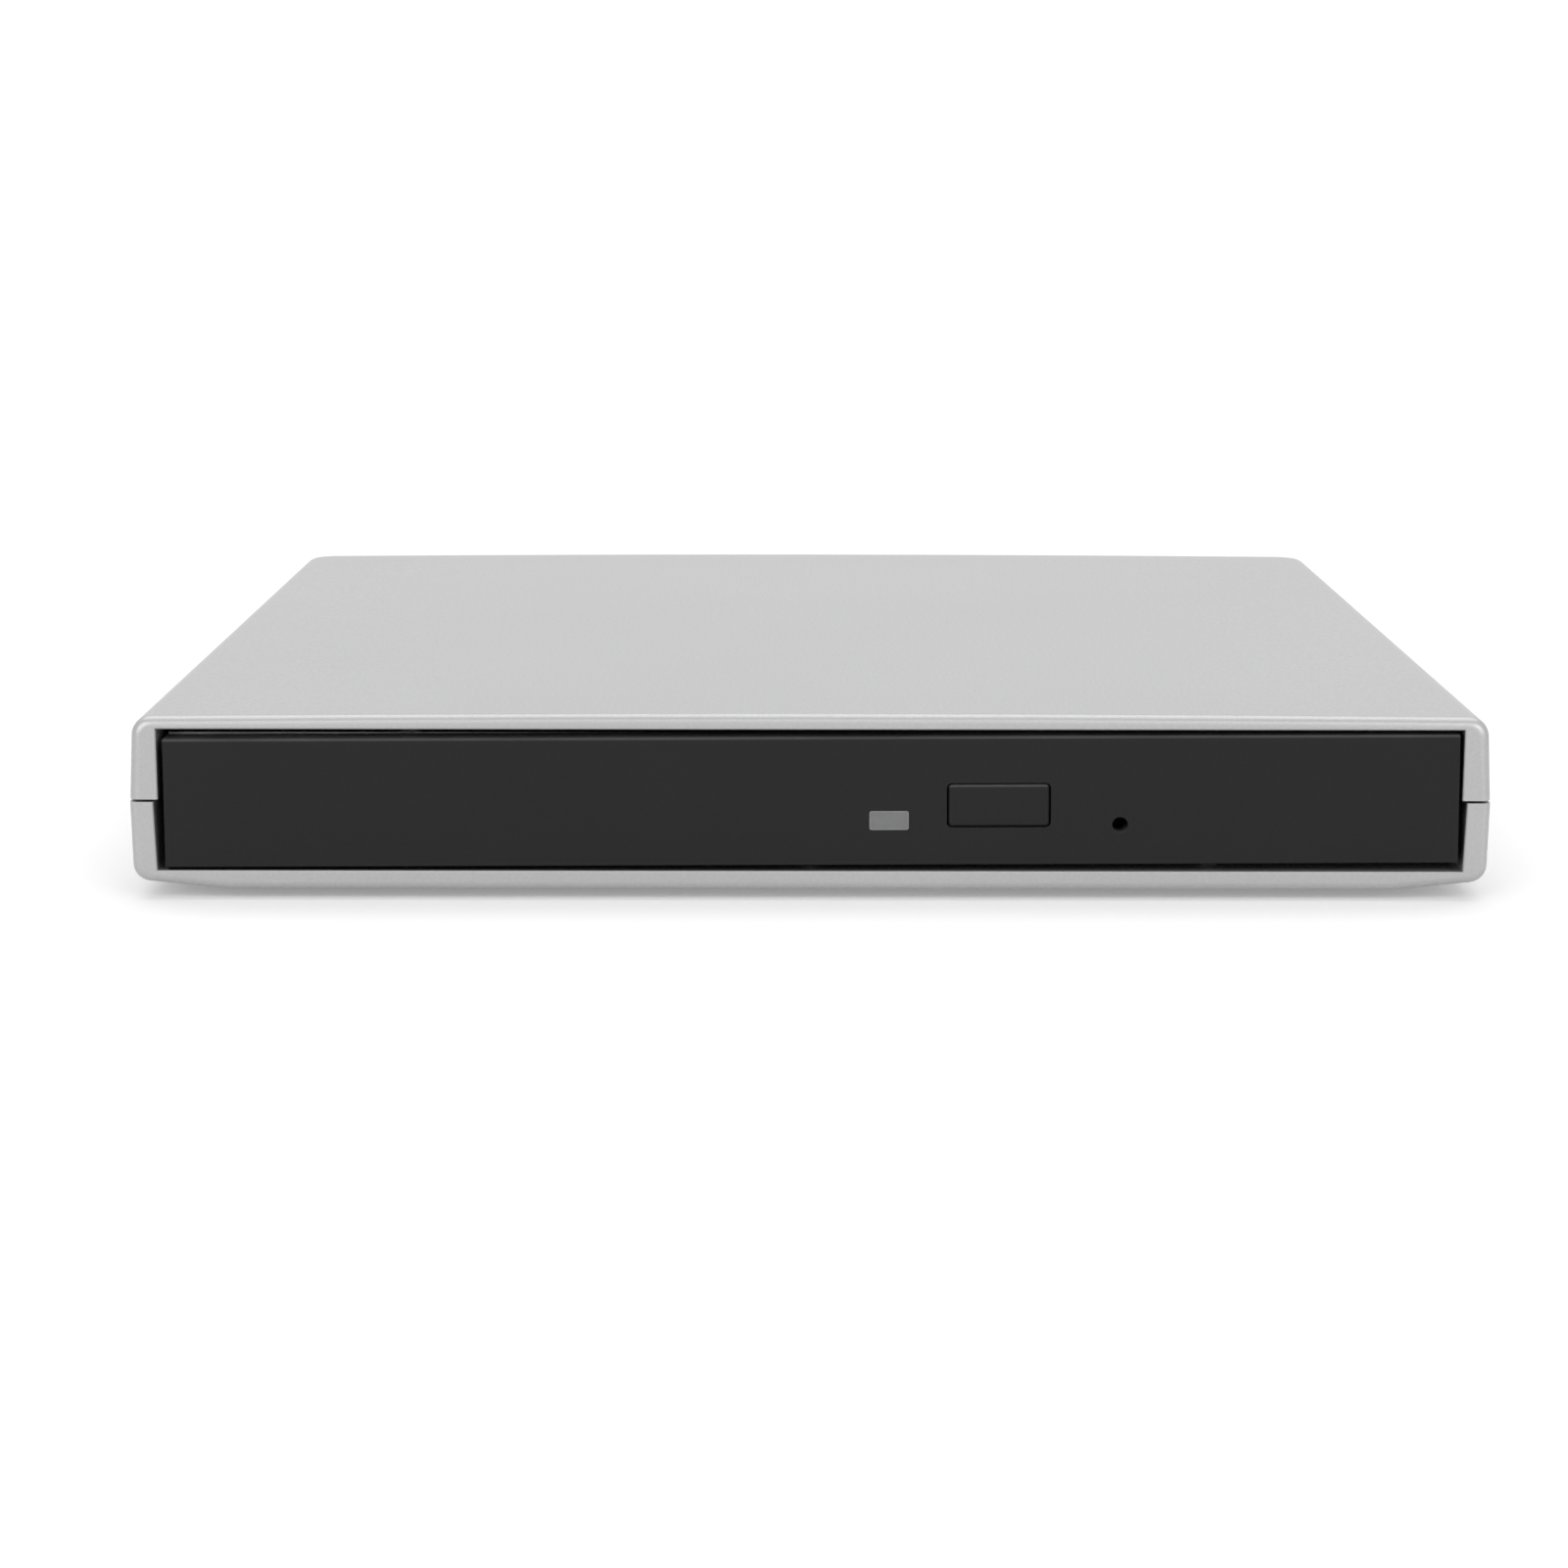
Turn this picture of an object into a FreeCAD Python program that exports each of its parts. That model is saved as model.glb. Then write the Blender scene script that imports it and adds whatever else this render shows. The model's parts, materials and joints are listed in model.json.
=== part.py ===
import FreeCAD, Part

import math
import os

import Sketcher

# Slim external disc drive: a two-shell case, open at the front, around a tray-loading drive.
# Millimetres. X runs right, Y runs back, Z runs up. The origin is under the middle of the
# case, at the height of the surface that the feet stand on.

DOC = FreeCAD.newDocument("external_disc_drive")
SHEET = DOC.addObject("Spreadsheet::Sheet", "Dimensions")
SUBPARTS = []
SIDES = (("left", -1), ("right", 1))
ENDS = (("front", -1), ("rear", 1))


class Size:
    """A length with its number today and the expression that ties it to the sheet."""

    def __init__(self, number, text):
        self.number = float(number)
        self.text = text

    def joined(self, other, sign, number):
        return Size(number, f"({self.text} {sign} {text_of(other)})")

    def __add__(self, other):
        return self.joined(other, "+", self.number + number_of(other))

    def __sub__(self, other):
        return self.joined(other, "-", self.number - number_of(other))

    def __mul__(self, other):
        return self.joined(other, "*", self.number * number_of(other))

    def __truediv__(self, other):
        return self.joined(other, "/", self.number / number_of(other))

    def __radd__(self, other):
        return constant(other) + self

    def __rsub__(self, other):
        return constant(other) - self

    def __rmul__(self, other):
        return constant(other) * self

    def __neg__(self):
        return Size(-self.number, f"(-{self.text})")


def number_of(value):
    return value.number if isinstance(value, Size) else float(value)


def text_of(value):
    return value.text if isinstance(value, Size) else f"({float(value):g})"


def constant(value):
    return Size(value, f"({float(value):g})")


def dimension(alias, number):
    """Puts one driving dimension in the sheet."""
    row = dimension.rows = dimension.rows + 1
    SHEET.set(f"A{row}", alias)
    SHEET.set(f"B{row}", str(number))
    SHEET.setAlias(f"B{row}", alias)
    return Size(number, f"Dimensions.{alias}")


dimension.rows = 0


PAST = 1.0  # how far a cutting shape runs past the face that it opens
EMBED = 0.1  # how far joined shapes reach into each other
SLACK = 0.01  # how near to a plane a point counts as lying on it
FLANK_SLACK = 0.05  # the same for the case's crowned and sloped sides


def both(half):
    """The two planes that lie as far to each side of zero."""
    return (-half, half)


def about(middle, width):
    """The two planes of a given width round a middle."""
    return (middle - width / 2, middle + width / 2)


# The disc that the tray takes
disc_radius = dimension("disc_radius", 60.0)
disc_clearance = dimension("disc_clearance", 0.9)
disc_seat = dimension("disc_seat", 0.9)
small_disc_radius = dimension("small_disc_radius", 41.0)
small_disc_depth = dimension("small_disc_depth", 0.4)

# Case
case_side_wall = dimension("case_side_wall", 2.72)
case_floor = dimension("case_floor", 1.89)
case_ceiling = dimension("case_ceiling", 1.54)
case_rear_wall = dimension("case_rear_wall", 2.0)
case_crown = dimension("case_crown", 0.3)
crown_band = dimension("crown_band", 0.2)
top_edge_round = dimension("top_edge_round", 2.0)
upper_front_round = dimension("upper_front_round", 1.0)
lower_front_round = dimension("lower_front_round", 0.75)
opening_chamfer = dimension("opening_chamfer", 0.12)
upper_draft = dimension("upper_draft", 0.08)
lower_draft = dimension("lower_draft", 0.3)
lower_step = dimension("lower_step", 0.4)
upper_side_draft = dimension("upper_side_draft", 0.36)
lower_side_draft = dimension("lower_side_draft", 0.25)
rear_corner_round = dimension("rear_corner_round", 4.0)
bottom_edge_round = dimension("bottom_edge_round", 1.8)
bottom_band_width = dimension("bottom_band_width", 9.5)
bottom_band_rise = dimension("bottom_band_rise", 0.95)
parting_height = dimension("parting_height", 8.9)
parting_gap = dimension("parting_gap", 0.25)
lip_thickness = dimension("lip_thickness", 1.0)
lip_height = dimension("lip_height", 0.9)
lip_clearance = dimension("lip_clearance", 0.1)
floor_rib_height = dimension("floor_rib_height", 0.71)
ceiling_rib_height = dimension("ceiling_rib_height", 0.86)
rib_width = dimension("rib_width", 1.6)
rib_place = dimension("rib_place", 40.0)
rib_end_gap = dimension("rib_end_gap", 6.0)
foot_height = dimension("foot_height", 1.0)
foot_radius = dimension("foot_radius", 4.5)
foot_bevel = dimension("foot_bevel", 0.35)
foot_recess = dimension("foot_recess", 0.4)
foot_clearance = dimension("foot_clearance", 0.1)
foot_inset_x = dimension("foot_inset_x", 15.77)
foot_inset_y = dimension("foot_inset_y", 15.0)

# Case screws
case_screw_radius = dimension("case_screw_radius", 1.0)
case_screw_length = dimension("case_screw_length", 6.0)
case_screw_head_radius = dimension("case_screw_head_radius", 1.9)
case_screw_head_height = dimension("case_screw_head_height", 1.3)
case_screw_seat_drop = dimension("case_screw_seat_drop", 1.6)
case_screw_inset_x = dimension("case_screw_inset_x", 6.72)
case_screw_inset_y = dimension("case_screw_inset_y", 5.8)
lower_post_radius = dimension("lower_post_radius", 3.4)
upper_post_radius = dimension("upper_post_radius", 2.6)
screw_clearance = dimension("screw_clearance", 0.1)
thread_clearance = dimension("thread_clearance", 0.05)

# The cross in a screw's head, as shares of the head's radius
cross_length = dimension("cross_length", 1.2)
cross_width = dimension("cross_width", 0.28)

# Bezel
bezel_overhang = dimension("bezel_overhang", 0.2)
bezel_thickness = dimension("bezel_thickness", 3.5)
bezel_wall = dimension("bezel_wall", 1.5)
bezel_rim = dimension("bezel_rim", 1.2)
bezel_inset = dimension("bezel_inset", 0.2)
bezel_side_gap = dimension("bezel_side_gap", 0.55)
bezel_bottom_gap = dimension("bezel_bottom_gap", 0.57)
bezel_top_gap = dimension("bezel_top_gap", 0.76)
bezel_shift = dimension("bezel_shift", 0.12)
bezel_roll = dimension("bezel_roll", 0.27)
bezel_edge_round = dimension("bezel_edge_round", 0.15)
bezel_top_round = dimension("bezel_top_round", 0.35)
bezel_rib_width = dimension("bezel_rib_width", 2.4)
bezel_rib_place = dimension("bezel_rib_place", 46.0)
bezel_rib_inset = dimension("bezel_rib_inset", 0.6)

# Bezel details, measured from the bezel's middle
lamp_place = dimension("lamp_place", 7.7)
lamp_rise = dimension("lamp_rise", -1.95)
lamp_width = dimension("lamp_width", 3.9)
lamp_height = dimension("lamp_height", 1.9)
lamp_corner_round = dimension("lamp_corner_round", 0.25)
lamp_gap = dimension("lamp_gap", 0.03)
lamp_inset = dimension("lamp_inset", 0.05)
lamp_guide_length = dimension("lamp_guide_length", 1.2)
button_place = dimension("button_place", 18.55)
button_rise = dimension("button_rise", -0.48)
button_width = dimension("button_width", 10.0)
button_height = dimension("button_height", 4.2)
button_corner_round = dimension("button_corner_round", 0.4)
button_edge_round = dimension("button_edge_round", 0.35)
button_gap = dimension("button_gap", 0.15)
button_travel = dimension("button_travel", 0.5)
button_proud = dimension("button_proud", 0.05)
button_flange = dimension("button_flange", 0.7)
button_flange_thickness = dimension("button_flange_thickness", 0.6)
button_rest_gap = dimension("button_rest_gap", 0.1)
button_stem_width = dimension("button_stem_width", 3.2)
button_stem_height = dimension("button_stem_height", 2.0)
pinhole_place = dimension("pinhole_place", 30.54)
pinhole_rise = dimension("pinhole_rise", -2.45)
pinhole_radius = dimension("pinhole_radius", 0.78)
pinhole_wall = dimension("pinhole_wall", 1.0)

# Fixed half of the drive
chassis_sheet = dimension("chassis_sheet", 0.6)
chassis_front_gap = dimension("chassis_front_gap", 0.3)
cover_sheet = dimension("cover_sheet", 0.5)
cover_flange = dimension("cover_flange", 0.4)
cover_flange_height = dimension("cover_flange_height", 4.6)
cover_flange_inset = dimension("cover_flange_inset", 1.5)
cover_gap = dimension("cover_gap", 0.5)
cable_space = dimension("cable_space", 1.2)
shield_sheet = dimension("shield_sheet", 0.4)
mechanism_space = dimension("mechanism_space", 5.7)
behind_disc = dimension("behind_disc", 1.1)
rear_room = dimension("rear_room", 20.0)
cover_screw_radius = dimension("cover_screw_radius", 0.75)
cover_screw_head = dimension("cover_screw_head", 1.3)
cover_screw_head_height = dimension("cover_screw_head_height", 0.35)
cover_screw_front = dimension("cover_screw_front", 11.0)
cover_screw_rear = dimension("cover_screw_rear", 9.0)
board_foot_inset = dimension("board_foot_inset", 5.0)
board_foot_front = dimension("board_foot_front", 3.0)

# Rails
guide_back = dimension("guide_back", 0.5)
guide_lip = dimension("guide_lip", 1.2)
guide_lip_thickness = dimension("guide_lip_thickness", 0.5)
guide_front = dimension("guide_front", 1.0)
guide_rear_gap = dimension("guide_rear_gap", 2.3)
rail_gap = dimension("rail_gap", 0.08)
rail_width = dimension("rail_width", 2.6)
rail_height = dimension("rail_height", 3.6)
rail_drop = dimension("rail_drop", 0.9)
rail_groove = dimension("rail_groove", 0.4)
rail_front = dimension("rail_front", 3.0)
rail_rear_gap = dimension("rail_rear_gap", 3.3)
runner_web = dimension("runner_web", 0.6)

# Tray
tray_edge = dimension("tray_edge", 1.5)
tray_front_edge = dimension("tray_front_edge", 1.4)
tray_side_gap = dimension("tray_side_gap", 0.4)
tray_rear_gap = dimension("tray_rear_gap", 2.0)
tray_corner_round = dimension("tray_corner_round", 3.0)
tray_floor = dimension("tray_floor", 1.5)
tray_skin = dimension("tray_skin", 0.5)
recess_depth = dimension("recess_depth", 2.2)
front_wall = dimension("front_wall", 1.2)
tray_post_radius = dimension("tray_post_radius", 2.0)
shield_board_gap = dimension("shield_board_gap", 3.8)
shield_front_gap = dimension("shield_front_gap", 0.2)
shield_screw_side = dimension("shield_screw_side", 5.5)
shield_screw_front = dimension("shield_screw_front", 7.0)
shield_screw_rear = dimension("shield_screw_rear", 4.5)
shield_screw_strike = dimension("shield_screw_strike", 10.0)
shield_corner_side = dimension("shield_corner_side", 2.4)
shield_corner_front = dimension("shield_corner_front", 4.4)
strike_slot_gap = dimension("strike_slot_gap", 0.9)
strike_slot_front = dimension("strike_slot_front", 3.5)

# Spindle
hub_radius = dimension("hub_radius", 7.4)
hub_rise = dimension("hub_rise", 1.5)
hub_bevel = dimension("hub_bevel", 0.4)
turntable_radius = dimension("turntable_radius", 13.2)
turntable_thickness = dimension("turntable_thickness", 0.45)
pad_thickness = dimension("pad_thickness", 0.35)
pad_inner_gap = dimension("pad_inner_gap", 1.2)
pad_outer_gap = dimension("pad_outer_gap", 0.3)
rotor_radius = dimension("rotor_radius", 11.5)
rotor_wall = dimension("rotor_wall", 0.8)
rotor_roof = dimension("rotor_roof", 0.6)
rotor_gap = dimension("rotor_gap", 0.3)
shaft_radius = dimension("shaft_radius", 1.0)
shaft_clearance = dimension("shaft_clearance", 0.03)
shaft_rise = dimension("shaft_rise", 2.0)
sleeve_radius = dimension("sleeve_radius", 3.0)
sleeve_floor = dimension("sleeve_floor", 0.5)
sleeve_rise = dimension("sleeve_rise", 1.8)
motor_plate_margin = dimension("motor_plate_margin", 2.5)
motor_plate_sheet = dimension("motor_plate_sheet", 0.8)
stator_radius = dimension("stator_radius", 9.6)
stator_height = dimension("stator_height", 1.5)
stator_slot_half = dimension("stator_slot_half", 0.7)
stator_gap = dimension("stator_gap", 0.1)
stator_core = dimension("stator_core", 2.0)
sleeve_clearance = dimension("sleeve_clearance", 0.02)
shaft_end_gap = dimension("shaft_end_gap", 0.1)
pawl_width = dimension("pawl_width", 1.8)
pawl_length = dimension("pawl_length", 2.6)
pawl_height = dimension("pawl_height", 1.1)
pawl_gap = dimension("pawl_gap", 0.1)
pawl_bottom_gap = dimension("pawl_bottom_gap", 0.07)
pawl_proud = dimension("pawl_proud", 0.15)
pawl_slot_length = dimension("pawl_slot_length", 3.4)
pawl_lift = dimension("pawl_lift", 0.02)
pawl_toe = dimension("pawl_toe", 0.5)
pawl_nose = dimension("pawl_nose", 0.45)
pawl_brow = dimension("pawl_brow", 0.35)

# Mechanism, in its own directions: along the sled's travel and across it
sled_turn = dimension("sled_turn", 225.0)
plate_sheet = dimension("plate_sheet", 0.8)
plate_drop = dimension("plate_drop", 0.3)
plate_tail = dimension("plate_tail", 21.5)
plate_margin = dimension("plate_margin", 1.5)
plate_sub_margin = dimension("plate_sub_margin", 10.0)
plate_screw_margin = dimension("plate_screw_margin", 9.5)
plate_side_gap = dimension("plate_side_gap", 0.5)
plate_strike_gap = dimension("plate_strike_gap", 5.0)
plate_front_gap = dimension("plate_front_gap", 0.3)
plate_rear_gap = dimension("plate_rear_gap", 20.0)
lens_inner = dimension("lens_inner", 23.0)
lens_edge = dimension("lens_edge", 2.0)
lens_radius = dimension("lens_radius", 2.0)
lens_rim = dimension("lens_rim", 1.0)
lens_bulge = dimension("lens_bulge", 0.6)
lens_clearance = dimension("lens_clearance", 0.02)
lens_ledge = dimension("lens_ledge", 0.5)
holder_length = dimension("holder_length", 7.0)
holder_width = dimension("holder_width", 8.0)
holder_drop = dimension("holder_drop", 0.9)
holder_rise = dimension("holder_rise", 0.9)
rod_radius = dimension("rod_radius", 1.2)
rod_drop = dimension("rod_drop", 3.1)
rod_start = dimension("rod_start", 9.0)
rod_overrun = dimension("rod_overrun", 6.0)
rod_clearance = dimension("rod_clearance", 0.04)
rod_seat_inset = dimension("rod_seat_inset", 1.0)
rod_end_inset = dimension("rod_end_inset", 0.7)
rod_seat_margin = dimension("rod_seat_margin", 0.4)
rod_seat_under = dimension("rod_seat_under", 0.7)
rod_seat_length = dimension("rod_seat_length", 2.5)
main_rod_side = dimension("main_rod_side", 19.0)
sub_rod_side = dimension("sub_rod_side", 15.0)
screw_drop = dimension("screw_drop", 2.9)
lead_screw_radius = dimension("lead_screw_radius", 1.3)
lead_screw_gap = dimension("lead_screw_gap", 0.1)
motor_start = dimension("motor_start", 5.0)
motor_radius = dimension("motor_radius", 2.7)
motor_length = dimension("motor_length", 11.0)
motor_cheek = dimension("motor_cheek", 0.7)
cheek_width = dimension("cheek_width", 4.2)
cheek_reach = dimension("cheek_reach", 2.0)
motor_strap = dimension("motor_strap", 3.0)
strap_sheet = dimension("strap_sheet", 0.5)
motor_recess = dimension("motor_recess", 0.2)
motor_bay_tail = dimension("motor_bay_tail", 1.5)
motor_bay_gap = dimension("motor_bay_gap", 0.5)
screw_end_inset = dimension("screw_end_inset", 4.6)
rotor_hole_gap = dimension("rotor_hole_gap", 0.9)
sled_slot_start = dimension("sled_slot_start", 14.0)
sled_slot_overrun = dimension("sled_slot_overrun", 7.5)
sled_slot_half = dimension("sled_slot_half", 9.2)
cover_plate_sheet = dimension("cover_plate_sheet", 0.3)
cover_plate_rise = dimension("cover_plate_rise", 0.8)
cover_leg_radius = dimension("cover_leg_radius", 1.0)
lens_slot_half = dimension("lens_slot_half", 5.6)
lens_slot_start = dimension("lens_slot_start", 10.0)
turntable_bay_gap = dimension("turntable_bay_gap", 0.8)
cover_leg_inner = dimension("cover_leg_inner", 20.0)
cover_leg_outer = dimension("cover_leg_outer", 50.0)
cover_leg_sub = dimension("cover_leg_sub", 11.4)
cover_leg_main = dimension("cover_leg_main", 12.0)
opening_tail = dimension("opening_tail", 13.5)
opening_sub = dimension("opening_sub", 14.0)
opening_main = dimension("opening_main", 16.0)
opening_neck = dimension("opening_neck", 9.5)
opening_reach = dimension("opening_reach", 8.0)
opening_shoulder = dimension("opening_shoulder", 5.0)
cover_plate_side_gap = dimension("cover_plate_side_gap", 1.0)
cover_plate_neck_gap = dimension("cover_plate_neck_gap", 0.5)
cover_plate_end_gap = dimension("cover_plate_end_gap", 0.7)
damper_radius = dimension("damper_radius", 3.2)
damper_hole = dimension("damper_hole", 2.2)
damper_collar = dimension("damper_collar", 0.5)
damper_clearance = dimension("damper_clearance", 0.05)
damper_grip = dimension("damper_grip", 0.7)
tail_damper_along = dimension("tail_damper_along", 17.5)
tail_damper_across = dimension("tail_damper_across", 9.0)
sub_damper_along = dimension("sub_damper_along", 34.0)
sub_damper_gap = dimension("sub_damper_gap", 6.5)
main_damper_along = dimension("main_damper_along", 40.0)
main_damper_gap = dimension("main_damper_gap", 6.0)

# Pickup, measured from the lens and the rods
pickup_length = dimension("pickup_length", 16.0)
pickup_sub_side = dimension("pickup_sub_side", 11.0)
pickup_main_gap = dimension("pickup_main_gap", 3.0)
pickup_floor_gap = dimension("pickup_floor_gap", 0.4)
pickup_roof_gap = dimension("pickup_roof_gap", 0.2)
bearing_tail = dimension("bearing_tail", 6.0)
bearing_nose = dimension("bearing_nose", 3.0)
bearing_wall = dimension("bearing_wall", 1.2)
bearing_under = dimension("bearing_under", 0.6)
fork_length = dimension("fork_length", 4.0)
fork_jaw = dimension("fork_jaw", 0.4)
tower_length = dimension("tower_length", 13.0)
tower_width = dimension("tower_width", 16.0)
tower_rise = dimension("tower_rise", 0.4)
tower_well_length = dimension("tower_well_length", 10.0)
tower_well_width = dimension("tower_well_width", 12.0)
tower_well_depth = dimension("tower_well_depth", 1.4)
arm_length = dimension("arm_length", 5.0)
arm_gap = dimension("arm_gap", 2.0)
arm_reach = dimension("arm_reach", 0.1)
nut_side = dimension("nut_side", 2.2)
nut_drop = dimension("nut_drop", 1.7)
nut_roof_gap = dimension("nut_roof_gap", 0.6)
lid_sheet = dimension("lid_sheet", 0.25)
lid_mouth_length = dimension("lid_mouth_length", 8.6)
lid_mouth_width = dimension("lid_mouth_width", 10.0)

# Latch, whose places are measured from the tray's right runner and from the bezel
strike_inset = dimension("strike_inset", 14.94)
strike_place = dimension("strike_place", 15.3)
strike_radius = dimension("strike_radius", 1.3)
strike_foot = dimension("strike_foot", 1.2)
strike_foot_height = dimension("strike_foot_height", 0.5)
hook_inset = dimension("hook_inset", 8.94)
hook_place = dimension("hook_place", 5.8)
hook_rise = dimension("hook_rise", 0.5)
hook_pin_radius = dimension("hook_pin_radius", 1.0)
hook_eye_wall = dimension("hook_eye_wall", 1.5)
hook_thickness = dimension("hook_thickness", 1.7)
hook_turn = dimension("hook_turn", 14.0)
hook_tail = dimension("hook_tail", 16.0)
hook_tail_width = dimension("hook_tail_width", 2.4)
hook_tip = dimension("hook_tip", 2.0)
hook_gap = dimension("hook_gap", 0.3)
hook_catch = dimension("hook_catch", 1.4)
hook_arm_gap = dimension("hook_arm_gap", 0.7)
hook_arm_side = dimension("hook_arm_side", 0.6)
hook_arm_root = dimension("hook_arm_root", 1.5)
hook_shoulder = dimension("hook_shoulder", 1.0)
hook_shoulder_gap = dimension("hook_shoulder_gap", 0.15)
hook_pin_overrun = dimension("hook_pin_overrun", 0.3)
hook_clearance = dimension("hook_clearance", 0.04)
slider_gap = dimension("slider_gap", 0.4)
slider_stroke = dimension("slider_stroke", 3.9)
slider_length = dimension("slider_length", 3.1)
slider_pin_margin = dimension("slider_pin_margin", 1.8)
slider_tail_margin = dimension("slider_tail_margin", 1.6)
slider_rise = dimension("slider_rise", 1.0)
lamp_wall_gap = dimension("lamp_wall_gap", 4.0)
solenoid_side_gap = dimension("solenoid_side_gap", 0.3)
solenoid_width = dimension("solenoid_width", 4.3)
solenoid_height = dimension("solenoid_height", 4.6)
solenoid_length = dimension("solenoid_length", 14.4)
solenoid_place = dimension("solenoid_place", 3.6)
solenoid_sheet = dimension("solenoid_sheet", 0.5)
solenoid_cheek = dimension("solenoid_cheek", 2.4)
coil_radius = dimension("coil_radius", 1.6)

# Small screws
small_screw_radius = dimension("small_screw_radius", 0.8)
small_screw_length = dimension("small_screw_length", 2.8)
small_head_radius = dimension("small_head_radius", 1.6)
small_head_height = dimension("small_head_height", 0.7)
flat_head_height = dimension("flat_head_height", 0.5)
board_screw_length = dimension("board_screw_length", 2.3)

# Boards and sockets
board_post_radius = dimension("board_post_radius", 2.2)
board_sheet = dimension("board_sheet", 1.0)
bridge_side_gap = dimension("bridge_side_gap", 10.55)
bridge_front_gap = dimension("bridge_front_gap", 2.5)
bridge_rear_gap = dimension("bridge_rear_gap", 1.5)
bridge_screw_inset = dimension("bridge_screw_inset", 4.0)
port_x = dimension("port_x", 30.0)
port_width = dimension("port_width", 11.0)
port_height = dimension("port_height", 7.4)
usb_width = dimension("usb_width", 7.7)
usb_height = dimension("usb_height", 4.0)
usb_depth = dimension("usb_depth", 9.2)
usb_sheet = dimension("usb_sheet", 0.35)
usb_inset = dimension("usb_inset", 0.2)
usb_floor = dimension("usb_floor", 2.0)
usb_tongue_width = dimension("usb_tongue_width", 4.5)
usb_tongue_thickness = dimension("usb_tongue_thickness", 0.8)
usb_tongue_rise = dimension("usb_tongue_rise", 0.15)
usb_tongue_inset = dimension("usb_tongue_inset", 1.2)
sata_x = dimension("sata_x", -35.0)
sata_width = dimension("sata_width", 26.0)
sata_height = dimension("sata_height", 3.6)
sata_depth = dimension("sata_depth", 7.0)
sata_proud = dimension("sata_proud", 0.4)
sata_tongue_depth = dimension("sata_tongue_depth", 4.0)
sata_tongue_height = dimension("sata_tongue_height", 1.6)
sata_side = dimension("sata_side", 1.5)
sata_plug_depth = dimension("sata_plug_depth", 5.0)
sata_clearance = dimension("sata_clearance", 0.1)
sata_window_gap = dimension("sata_window_gap", 0.3)
main_board_rise = dimension("main_board_rise", 0.6)
main_board_left_gap = dimension("main_board_left_gap", 5.8)
main_board_right_gap = dimension("main_board_right_gap", 17.8)
main_board_rear_gap = dimension("main_board_rear_gap", 0.4)
main_board_depth = dimension("main_board_depth", 24.0)
main_notch_width = dimension("main_notch_width", 9.0)
main_notch_depth = dimension("main_notch_depth", 6.0)
button_board_rise = dimension("button_board_rise", 0.8)
button_board_sheet = dimension("button_board_sheet", 0.8)
button_board_front = dimension("button_board_front", 1.4)
button_board_back = dimension("button_board_back", 13.0)
button_board_screw = dimension("button_board_screw", 11.0)
button_board_left = dimension("button_board_left", 5.5)
button_board_right = dimension("button_board_right", 7.0)
board_screw_left = dimension("board_screw_left", 3.0)
board_screw_right = dimension("board_screw_right", 5.0)
switch_place = dimension("switch_place", 2.3)
switch_width = dimension("switch_width", 5.0)
switch_depth = dimension("switch_depth", 3.6)
switch_height = dimension("switch_height", 3.8)
knob_width = dimension("knob_width", 2.6)
knob_length = dimension("knob_length", 0.6)
knob_height = dimension("knob_height", 1.4)
led_width = dimension("led_width", 2.0)
led_front = dimension("led_front", 1.8)
led_back = dimension("led_back", 3.2)
led_base = dimension("led_base", 0.6)
led_radius = dimension("led_radius", 0.5)
led_nose = dimension("led_nose", 0.3)
cable_x = dimension("cable_x", -19.0)
cable_width = dimension("cable_width", 22.0)
cable_thickness = dimension("cable_thickness", 0.15)
cable_fold = dimension("cable_fold", 73.0)
cable_rise = dimension("cable_rise", 13.0)
cable_floor_gap = dimension("cable_floor_gap", 0.2)
cable_shield_gap = dimension("cable_shield_gap", 0.25)
cable_gate_width = dimension("cable_gate_width", 2.4)
cable_gate_gap = dimension("cable_gate_gap", 0.6)
cable_plug_rise = dimension("cable_plug_rise", 0.9)
cable_drop = dimension("cable_drop", 0.5)
cable_end_rise = dimension("cable_end_rise", 1.6)

# Eject pusher
pusher_inset = dimension("pusher_inset", 6.44)
pusher_width = dimension("pusher_width", 6.0)
pusher_height = dimension("pusher_height", 3.6)
pusher_length = dimension("pusher_length", 13.0)
pusher_room = dimension("pusher_room", 24.4)
pusher_stroke = dimension("pusher_stroke", 12.0)
pusher_floor = dimension("pusher_floor", 1.0)
pusher_gap = dimension("pusher_gap", 0.1)
pusher_guide_wall = dimension("pusher_guide_wall", 1.5)
pusher_guide_overrun = dimension("pusher_guide_overrun", 2.0)
pusher_guide_lip = dimension("pusher_guide_lip", 1.0)
pusher_rear_gap = dimension("pusher_rear_gap", 0.3)
pusher_shield_gap = dimension("pusher_shield_gap", 0.7)
lug_thickness = dimension("lug_thickness", 2.0)
lug_gap = dimension("lug_gap", 0.2)
lug_width = dimension("lug_width", 4.0)
lug_reach = dimension("lug_reach", 1.0)
spring_radius = dimension("spring_radius", 1.2)
spring_wire = dimension("spring_wire", 0.18)
spring_seat = dimension("spring_seat", 3.0)
spring_gap = dimension("spring_gap", 0.2)
spring_well_gap = dimension("spring_well_gap", 0.5)

# What is counted
STATOR_SLOTS = 12
PAWLS = 3
SPRING_TURNS = 10

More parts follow.
